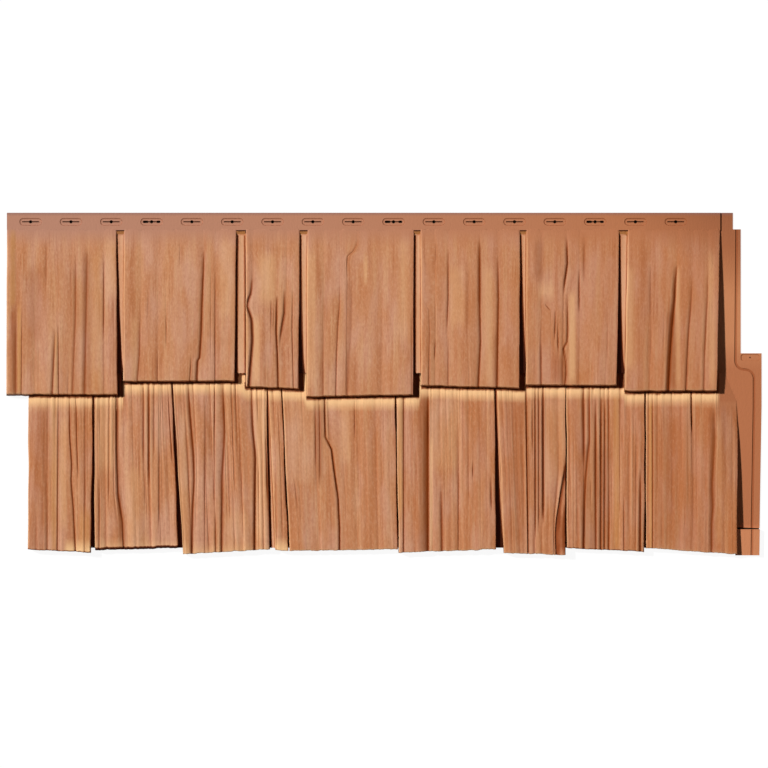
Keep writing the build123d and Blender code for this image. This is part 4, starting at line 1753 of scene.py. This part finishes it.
@dataclass(frozen=True)
class MouldedPolypropylene:
    """Polypropylene moulded in streaks of two browns, darker in the grooves partly as a stain and partly as
    painted shade, with painted shadows and painted highlights laid on it.

    The streaks run with the grain, and the mould's fine texture makes the surface dull.
    """

    base: str = "#CE8C63"
    flange_left: str = "#C38C73"
    corner_tilt: float = 0.6  # what a metre to the right counts for against one up the wall
    gloss: float = 0.06  # the mould's texture leaves little of the gloss
    ior: float = 1.49
    roughness: float = 0.58
    bump: float = 0.25  # height of the mould's fine texture in mm
    bump_of_streaks: float = 0.5  # share of the fine streaks in it
    noise_detail: float = 2.0
    noise_roughness: float = 0.55
    streak_depth: float = 0.3  # turns of a streak for one of its widths out of the wall
    fine_patches: Corner = (0.4, 0.62, 0.1)  # where fine streaks start and are full, and their least strength
    streak_sizes: dict[str, Point] = field(default_factory=lambda: {
        "clouds": (26.0, 90.0),  # width and length of the streaks in mm
        "patches": (36.0, 60.0),
        "broad": (8.0, 200.0),
        "fine": (2.2, 70.0),
        "grit": (2.0, 5.0),  # drawn coarser than the real texture, to show at all
    })
    grain_coats: tuple[Coat, ...] = (
        Coat("up", 0.0, -0.04, 0.2, "#B8642C"),  # the lower course
        Coat("clouds", 0.45, 0.66, 0.7, "#D8A084"),
        Coat("clouds", 0.42, 0.25, 0.55, "#C47A48"),
        Coat("broad", 0.52, 0.72, 0.35, "#E0AE80"),
        Coat("broad", 0.46, 0.28, 0.45, "#AC6236"),
        Coat("fine", 0.53, 0.75, 0.35, "#E4B68C"),
        Coat("fine", 0.47, 0.28, 0.4, "#A05428"),
        Coat("grit", 0.52, 0.72, 0.22, "#EABF98"),
        Coat("grit", 0.48, 0.28, 0.22, "#A0603A"),
    )
    flange_coats: tuple[Coat, ...] = (
        Coat("along", -0.45, 0.48, 1.0, "#C8835A"),
        Coat("up", 0.19, 0.12, 0.8, "#E8A478"),  # the lap flange
        Coat("up", 0.06, 0.02, 0.8, "#BE7A58"),  # the ear
        Coat("up", -0.195, -0.205, 0.75, "#F0A67A"),  # its foot
    )
    stain_and_shade_coats: tuple[Coat, ...] = (
        Coat("along", -0.1, 0.52, 0.41, "#B4622F"),
        Coat("corner", 0.42, 0.53, 0.6, "#8C533C"),
        Coat("up", 0.2335, 0.2385, 0.6, "#8A6866"),
        Coat("lean", 0.0, 1.0, 0.85, "#E0A25C"),
        Coat("lean", 0.0, -1.0, 0.85, "#A05024"),
        # painted highlight on ridges and on the lit keyway floors
        Coat("recess", -0.05, -0.8, 0.5, "#F0C096"),
        # painted highlight below the upper butts and at the edges, with the cream streaks
        Coat("wear", 0.0, 1.0, 0.97, "#FFCC94"),
        # brown streaks, and brown beside grooves that is partly painted shade
        Coat("brown", 0.0, 1.0, 0.85, "#8C4416"),
        # darker in recesses, partly a stain and partly painted shade, near black where a painted shadow lies
        Coat("recess", 0.06, 0.6, 0.82, "#86390A"),
        Coat("recess", 0.6, 1.6, 0.95, "#2C0800"),
    )

    def build(self) -> bpy.types.Material:
        """The material as nodes.

        Returns:
            The finished material.
        """
        material = bpy.data.materials.new("moulded_polypropylene")
        material.use_nodes = True
        tree = material.node_tree
        tree.nodes.clear()
        grain = add_node(tree, "Attribute", {"attribute_name": "grain"})
        grain = add_node(tree, "SeparateXYZ", i0=grain.outputs["Vector"])
        stain_and_shade = add_node(tree, "Attribute", {"attribute_name": "stain_and_shade"})
        stain_and_shade = add_node(tree, "SeparateXYZ", i0=stain_and_shade.outputs["Vector"])
        values = self.streaks(tree, grain.outputs[0])
        place = add_node(tree, "TexCoord").outputs["Object"]
        place = add_node(tree, "SeparateXYZ", i0=place)
        corner = add_node(tree, "Math", {"operation": "MULTIPLY_ADD"}, i0=place.outputs[0],
                          i1=self.corner_tilt, i2=place.outputs[1])
        values |= {"along": place.outputs[0], "up": place.outputs[1], "corner": corner.outputs[0],
                   "brown": grain.outputs[2], "recess": stain_and_shade.outputs[0], "lean": stain_and_shade.outputs[1],
                   "wear": stain_and_shade.outputs[2]}
        colour = self.coated(tree, linear(self.base), self.grain_coats, values)
        flange = self.coated(tree, linear(self.flange_left), self.flange_coats, values)
        colour = add_node(tree, "Mix", {"data_type": "RGBA"}, i0=grain.outputs[1], i6=flange,
                          i7=colour).outputs[2]
        colour = self.coated(tree, colour, self.stain_and_shade_coats, values)
        height = add_node(tree, "Math", {"operation": "MULTIPLY_ADD"}, i0=values["fine"],
                          i1=self.bump_of_streaks, i2=values["grit"])
        bump = add_node(tree, "Bump", Strength=1.0, Distance=self.bump * MILLIMETRE,
                        Height=height.outputs[0])
        shader = add_node(tree, "BsdfPrincipled", Base_Color=colour, Normal=bump.outputs[0],
                          Specular_IOR_Level=self.gloss, Roughness=self.roughness, IOR=self.ior)
        add_node(tree, "OutputMaterial", Surface=shader.outputs[0])
        return material

    def coated(self, tree: Tree, colour: object, coats: Iterable[Coat], values: dict[str, Socket]) -> Socket:
        """A colour under several coats.

        Args:
            tree: The material's nodes.
            colour: The colour below.
            coats: The coats from the lowest to the highest.
            values: The values that say where each coat lies.

        Returns:
            The output with the last colour.
        """
        for coat in coats:
            share = add_node(tree, "MapRange", i0=values[coat.value], i1=coat.low, i2=coat.high,
                             i4=coat.amount)
            colour = add_node(tree, "Mix", {"data_type": "RGBA"}, i0=share.outputs[0], i6=colour,
                              i7=linear(coat.colour)).outputs[2]
        return colour

    def streaks(self, tree: Tree, shift: Socket) -> dict[str, Socket]:
        """Noises of several sizes, drawn out along the grain.

        Args:
            tree: The material's nodes.
            shift: How far to the left of its place the grain stood at the butt, in mm.

        Returns:
            The output of each noise by its name.
        """
        place = add_node(tree, "TexCoord").outputs["Object"]
        aside = add_node(tree, "Math", {"operation": "MULTIPLY"}, i0=shift, i1=MILLIMETRE)
        aside = add_node(tree, "CombineXYZ", i0=aside.outputs[0])
        place = add_node(tree, "VectorMath", {"operation": "ADD"}, i0=place, i1=aside.outputs[0])
        noises = {}
        for name, (width, length) in self.streak_sizes.items():
            width, length = width * MILLIMETRE, length * MILLIMETRE
            scale = (1 / width, 1 / length, self.streak_depth / width)
            drawn_out = add_node(tree, "VectorMath", {"operation": "MULTIPLY"}, i0=place.outputs[0],
                                 i1=scale)
            noise = add_node(tree, "TexNoise", Vector=drawn_out.outputs[0], Scale=1.0,
                             Detail=self.noise_detail, Roughness=self.noise_roughness)
            noises[name] = noise.outputs["Fac"]
        start, full, least = self.fine_patches
        patch = add_node(tree, "MapRange", i0=noises["patches"], i1=start, i2=full, i3=least)
        middle = 0.5
        noises["fine"] = add_node(tree, "Mix", i0=patch.outputs[0], i2=middle, i3=noises["fine"]).outputs[0]
        return noises


UPPER_RELIEF = Relief(
    spacing=1.25, waves=0.45, ripples=0.1, lines=15, line_depth=0.5, line_length=(0.06, 0.4), calm=0.7,
    ragged=0.5, wander=0.35,
)
LOWER_RELIEF = Relief(
    spacing=1.1, waves=0.9, ripples=0.55, lines=30, line_depth=0.75, line_length=(0.15, 1.1), calm=0.08,
    ragged=0.8, wander=0.6,
)


@dataclass
class SidingPanel:
    """The whole moulding."""

    flange: NailingFlange = NailingFlange()
    lap: LapFlange = LapFlange()
    back: Back = Back()
    highlight_depth: float = 17.0  # how far the painted highlight band below the upper butts reaches
    highlight_fade: float = 12.0  # over how much of that it fades out
    highlight_start: float = 4.7  # how far below those butts it starts
    painted_shadow: float = 1.2  # painted shadow above that, as a depth in mm
    shade_soft: float = 3.0
    head_blend: float = 24.0  # how far below its head a shake's grain is at its full strength
    trim_margin: float = 20.0  # how far the trim below the wall plane reaches past the panel
    sharp_angle: float = 38.0
    level_share: float = 0.9999  # upright share of a normal from which a face is shaded flat

    def courses(self) -> tuple[Course, Course]:
        """Works out both courses.

        Returns:
            The upper and the lower course.
        """
        upper = Course(
            "upper", UPPER_SHAKES, UPPER_RELIEF, x_start=0.0, y_head=SIZES.upper_head,
            z_head=SIZES.flange_front, butt_draft=0.19, seed=40,
        )
        lower = Course(
            "lower", LOWER_SHAKES, LOWER_RELIEF, x_start=SIZES.lower_inset, y_head=SIZES.lower_head,
            z_head=5.6, butt_draft=0.05, seed=80, close_rows=(212.0, 246.0),
        )
        for course in (upper, lower):
            course.lay()
            LOG.info("%s course: %d shakes", course.name, len(course.faces))
        return upper, lower

    def fronts(self, upper: Course, lower: Course) -> list[Solid]:
        """The shakes with all their paint.

        Args:
            upper: The upper course.
            lower: The lower one, with a painted shadow and a painted highlight band below the upper butts.

        Returns:
            A block for each shake.
        """
        solids = []
        for face in upper.faces:
            grain = np.clip((SIZES.upper_head - face.y) / self.head_blend, 0, 1)
            solids.append(face.front(np.zeros_like(face.z), grain))
        for face in lower.faces:
            below = upper.butt_line(face.x) - self.highlight_start - face.y
            # a painted shadow right below the upper butts, then a painted highlight band below it
            shade = np.clip(0.5 - below / self.shade_soft, 0, 1) * upper.shades(face.x)
            face.paint[DARK] += self.painted_shadow * shade
            highlight_band = np.clip((self.highlight_depth - below) / self.highlight_fade, 0, 1) * (1 - shade)
            solids.append(face.front(highlight_band, 1 - face.plain))
        return solids

    def build(self) -> bpy.types.Object:
        """Unites the faces, floors and flanges, and cuts the back, the slots and the grooves.

        Returns:
            The finished panel, without its material.
        """
        upper, lower = self.courses()
        lap, foot = self.lap.stock()
        panel = lap.to_object("shake_panel")
        fronts = [*self.fronts(upper, lower), *self.back.floors(), *self.back.keyway_caps(upper)]
        for course, slope in zip((upper, lower), self.back.slopes(SIZES.lower_head)):
            fronts += self.back.shaded_floors(course, slope)
        join(panel, [*fronts, self.flange.stock(), foot], "UNION")
        LOG.info("front: %d faces", len(panel.data.polygons))
        ribs_x = self.back.ribs_x(self.flange.slots_x(), self.flange.pitch)
        first_room, *other_rooms = self.back.floor_hollows()
        hollow = first_room.to_object("hollow")
        rooms = [face.hollow(SIZES.upper_head) for face in upper.faces]
        rooms += [face.hollow(SIZES.floor_join) for face in lower.faces]
        join(hollow, [*rooms, *other_rooms], "UNION")
        join(hollow, self.back.ribs(ribs_x), "DIFFERENCE")
        channel = self.back.channel().to_object("channel")
        join(channel, self.back.tabs(ribs_x), "DIFFERENCE")
        LOG.info("hollow: %d faces", len(hollow.data.polygons))
        margin = self.trim_margin
        beneath = block((-margin, -margin, 2 * UNDER), (SIZES.ear_right + margin, SIZES.height + margin, 0.0))
        join(panel, [hollow, channel, *self.back.lap_rooms()], "DIFFERENCE")
        join(panel, [*self.flange.cuts(), *self.lap.cuts(), beneath], "DIFFERENCE")
        self.finish_mesh(panel.data)
        corners = sum(len(polygon.vertices) for polygon in panel.data.polygons)
        LOG.info("panel: %d triangles", corners - 2 * len(panel.data.polygons))
        return panel

    def finish_mesh(self, mesh: bpy.types.Mesh) -> None:
        """Moves the mesh to its place in the frame, and shades it smooth.

        Args:
            mesh: The panel's mesh, in millimetres.
        """
        low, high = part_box("panel")
        points = np.zeros(3 * len(mesh.vertices), np.float32)
        mesh.vertices.foreach_get("co", points)
        points = points.reshape(-1, 3).astype(float)
        right = high[0] / MILLIMETRE
        centre_y = (low[1] + high[1]) / 2 / MILLIMETRE
        points[:, 0] += right - SIZES.ear_right
        points[:, 1] += centre_y - SIZES.height / 2
        mesh.vertices.foreach_set("co", (points * MILLIMETRE).astype(np.float32).ravel())
        normals = np.zeros(3 * len(mesh.polygons), np.float32)
        mesh.polygons.foreach_get("normal", normals)
        level = np.abs(normals[2::3]) > self.level_share
        mesh.set_sharp_from_angle(angle=math.radians(self.sharp_angle))
        mesh.polygons.foreach_set("use_smooth", ~level)
        self.clean_flanges(mesh, level)
        mesh.update()

    def clean_flanges(self, mesh: bpy.types.Mesh, level: Array) -> None:
        """Takes the paint that the cuts left off the flanges.

        Args:
            mesh: The panel's mesh, in its place.
            level: Whether each of its faces is level.
        """
        count = len(mesh.polygons)
        middles = np.zeros(3 * count, np.float32)
        mesh.polygons.foreach_get("center", middles)
        corners = np.zeros(count, np.int32)
        mesh.polygons.foreach_get("loop_total", corners)
        fronts = np.array((SIZES.wall, SIZES.flange_front, SIZES.foot_front))
        off = np.abs(middles[2::3, None] / MILLIMETRE - fronts).min(1)
        plain = np.repeat(level & (off < RIM_STEP / 2), corners)
        for label in ("grain", "stain_and_shade"):
            layer = mesh.attributes[label].data
            values = np.zeros(3 * len(plain), np.float32)
            layer.foreach_get("vector", values)
            values.reshape(-1, 3)[plain] = 0.0
            layer.foreach_set("vector", values)


@dataclass(frozen=True)
class Studio:
    """White floor, a lamp from the upper left, a faint one from the foot, even light and the camera."""

    camera_height: float = 8.0
    view_width: float = 1.0675  # what the camera sees at the middle of the panel's depth
    aim_level: float = 0.012
    sensor: float = 36.0
    to_lamp: Corner = (-0.86, 0.42, 1.0)
    lamp_strength: float = 3.45
    lamp_angle: float = 3.5
    to_fill: Corner = (0.3, -1.0, 0.25)
    fill_strength: float = 0.1
    fill_angle: float = 30.0
    world_strength: float = 0.065
    floor_size: float = 30.0
    floor_glow: float = 0.93  # how white the floor is where it is seen
    clip: Point = (0.1, 100.0)
    white: str = "#FFFFFF"
    floor_bounce: str = "#E7E7E7"  # what the floor throws back onto the panel
    floor_shadow: str = "#595959"  # what the panel's shadow takes off the floor where it is seen
    shade_beneath: str = "#26211A"  # the floor under the panel, painted dark as shade
    hidden_floor: tuple[tuple[Point, Point], ...] = (  # corners of the floor under the panel, painted dark as shade, in its mm
        ((5.0, 240.0), (1005.0, 473.0)),
        ((40.0, 12.0), (1044.0, 240.0)),
        ((1040.0, 33.0), (1046.8, 40.0)),
    )

    def camera(self) -> None:
        """Camera that looks straight down."""
        data = bpy.data.cameras.new("camera")
        data.sensor_width = self.sensor
        data.lens = self.sensor * (self.camera_height - self.aim_level) / self.view_width
        data.clip_start, data.clip_end = self.clip
        camera = bpy.data.objects.new("camera", data)
        camera.location = (0.0, 0.0, self.camera_height)
        bpy.context.scene.collection.objects.link(camera)
        bpy.context.scene.camera = camera

    def lamp(self, name: str, towards: Corner, strength: float, angle: float) -> None:
        """Adds a lamp that is far away.

        Args:
            name: Its name.
            towards: Direction from the panel to the lamp.
            strength: Light that it throws on a surface that faces it.
            angle: How wide it looks from the panel, in degrees.
        """
        data = bpy.data.lights.new(name, "SUN")
        data.energy = strength
        data.angle = math.radians(angle)
        lamp = bpy.data.objects.new(name, data)
        lamp.rotation_mode = "QUATERNION"
        lamp.rotation_quaternion = Vector(towards).to_track_quat("Z", "Y")
        bpy.context.scene.collection.objects.link(lamp)

    def world(self) -> None:
        """Even light, and white behind everything that the camera sees."""
        world = bpy.data.worlds.new("studio")
        bpy.context.scene.world = world
        world.use_nodes = True
        tree = world.node_tree
        tree.nodes.clear()
        colour = linear(self.white)
        light = add_node(tree, "Background", Color=colour, Strength=self.world_strength)
        white = add_node(tree, "Background", Color=colour, Strength=1.0)
        both = add_node(tree, "MixShader", i0=self.seen(tree), i1=light.outputs[0], i2=white.outputs[0])
        add_node(tree, "OutputWorld", Surface=both.outputs[0])

    def seen(self, tree: Tree) -> Socket:
        """Picks the rays that are seen, straight or in a reflection or through glass.

        Args:
            tree: The nodes of a material or the world.

        Returns:
            One for such a ray, and zero for others.
        """
        rays = add_node(tree, "LightPath").outputs
        seen = rays["Is Camera Ray"]
        for ray in ("Is Glossy Ray", "Is Transmission Ray"):
            seen = add_node(tree, "Math", {"operation": "MAXIMUM"}, i0=seen, i1=rays[ray]).outputs[0]
        return seen

    def floor(self) -> bpy.types.Object:
        """Level floor under the panel, white where it is seen, with the panel's shadow on it, and dark as
        painted shade where the panel covers it.

        Returns:
            The floor with its material.
        """
        half = self.floor_size / 2
        mesh = bpy.data.meshes.new("floor")
        corners = [(-half, -half, 0), (half, -half, 0), (half, half, 0), (-half, half, 0)]
        mesh.from_pydata(corners, [], [(0, 1, 2, 3)])
        floor = bpy.data.objects.new("floor", mesh)
        bpy.context.scene.collection.objects.link(floor)
        material = bpy.data.materials.new("studio_floor")
        material.use_nodes = True
        tree = material.node_tree
        tree.nodes.clear()
        # beneath is the covered floor, painted dark as shade
        plain, shadow, beneath = (
            add_node(tree, "BsdfDiffuse", Color=linear(colour)).outputs[0]
            for colour in (self.floor_bounce, self.floor_shadow, self.shade_beneath)
        )
        glow = add_node(tree, "Emission", Color=linear(self.white), Strength=self.floor_glow)
        white = add_node(tree, "AddShader", i0=shadow, i1=glow.outputs[0])
        both = add_node(tree, "MixShader", i0=self.seen(tree), i1=plain, i2=white.outputs[0])
        whole = add_node(tree, "MixShader", i0=self.covered(tree), i1=both.outputs[0], i2=beneath)
        add_node(tree, "OutputMaterial", Surface=whole.outputs[0])
        mesh.materials.append(material)
        return floor

    def covered(self, tree: Tree) -> Socket:
        """Picks the floor under the panel, painted dark as shade, which shows only in its slots and its slit.

        Args:
            tree: The floor's nodes.

        Returns:
            One there, and zero elsewhere.
        """
        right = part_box("panel")[1][0]
        place = add_node(tree, "TexCoord").outputs["Object"]
        parts = add_node(tree, "SeparateXYZ", i0=place)
        hidden = 0.0
        for low, high in self.hidden_floor:
            inside = []
            for axis, origin in enumerate((right / MILLIMETRE - SIZES.ear_right, -SIZES.height / 2)):
                middle = ((low[axis] + high[axis]) / 2 + origin) * MILLIMETRE
                reach = (high[axis] - low[axis]) / 2 * MILLIMETRE
                part = add_node(tree, "Math", {"operation": "COMPARE"}, i0=parts.outputs[axis],
                                i1=middle, i2=reach)
                inside.append(part.outputs[0])
            both = add_node(tree, "Math", {"operation": "MULTIPLY"}, i0=inside[0], i1=inside[1])
            hidden = add_node(tree, "Math", {"operation": "MAXIMUM"}, i0=hidden,
                              i1=both.outputs[0]).outputs[0]
        return hidden

    def build(self) -> None:
        """Sets up the whole studio."""
        self.camera()
        self.lamp("key", self.to_lamp, self.lamp_strength, self.lamp_angle)
        self.lamp("fill", self.to_fill, self.fill_strength, self.fill_angle)
        self.world()
        self.floor()
        bpy.context.scene.view_settings.view_transform = "Standard"
        LOG.info("studio: camera, two lamps, world and floor")


def main() -> None:
    """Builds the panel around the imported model, and the studio."""
    logging.basicConfig(level=logging.INFO, format="%(name)s: %(message)s")
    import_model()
    panel = SidingPanel().build()
    panel.data.materials.clear()
    panel.data.materials.append(MouldedPolypropylene().build())
    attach(panel, "root")
    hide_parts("panel")
    Studio().build()


if __name__ == "__main__":
    main()
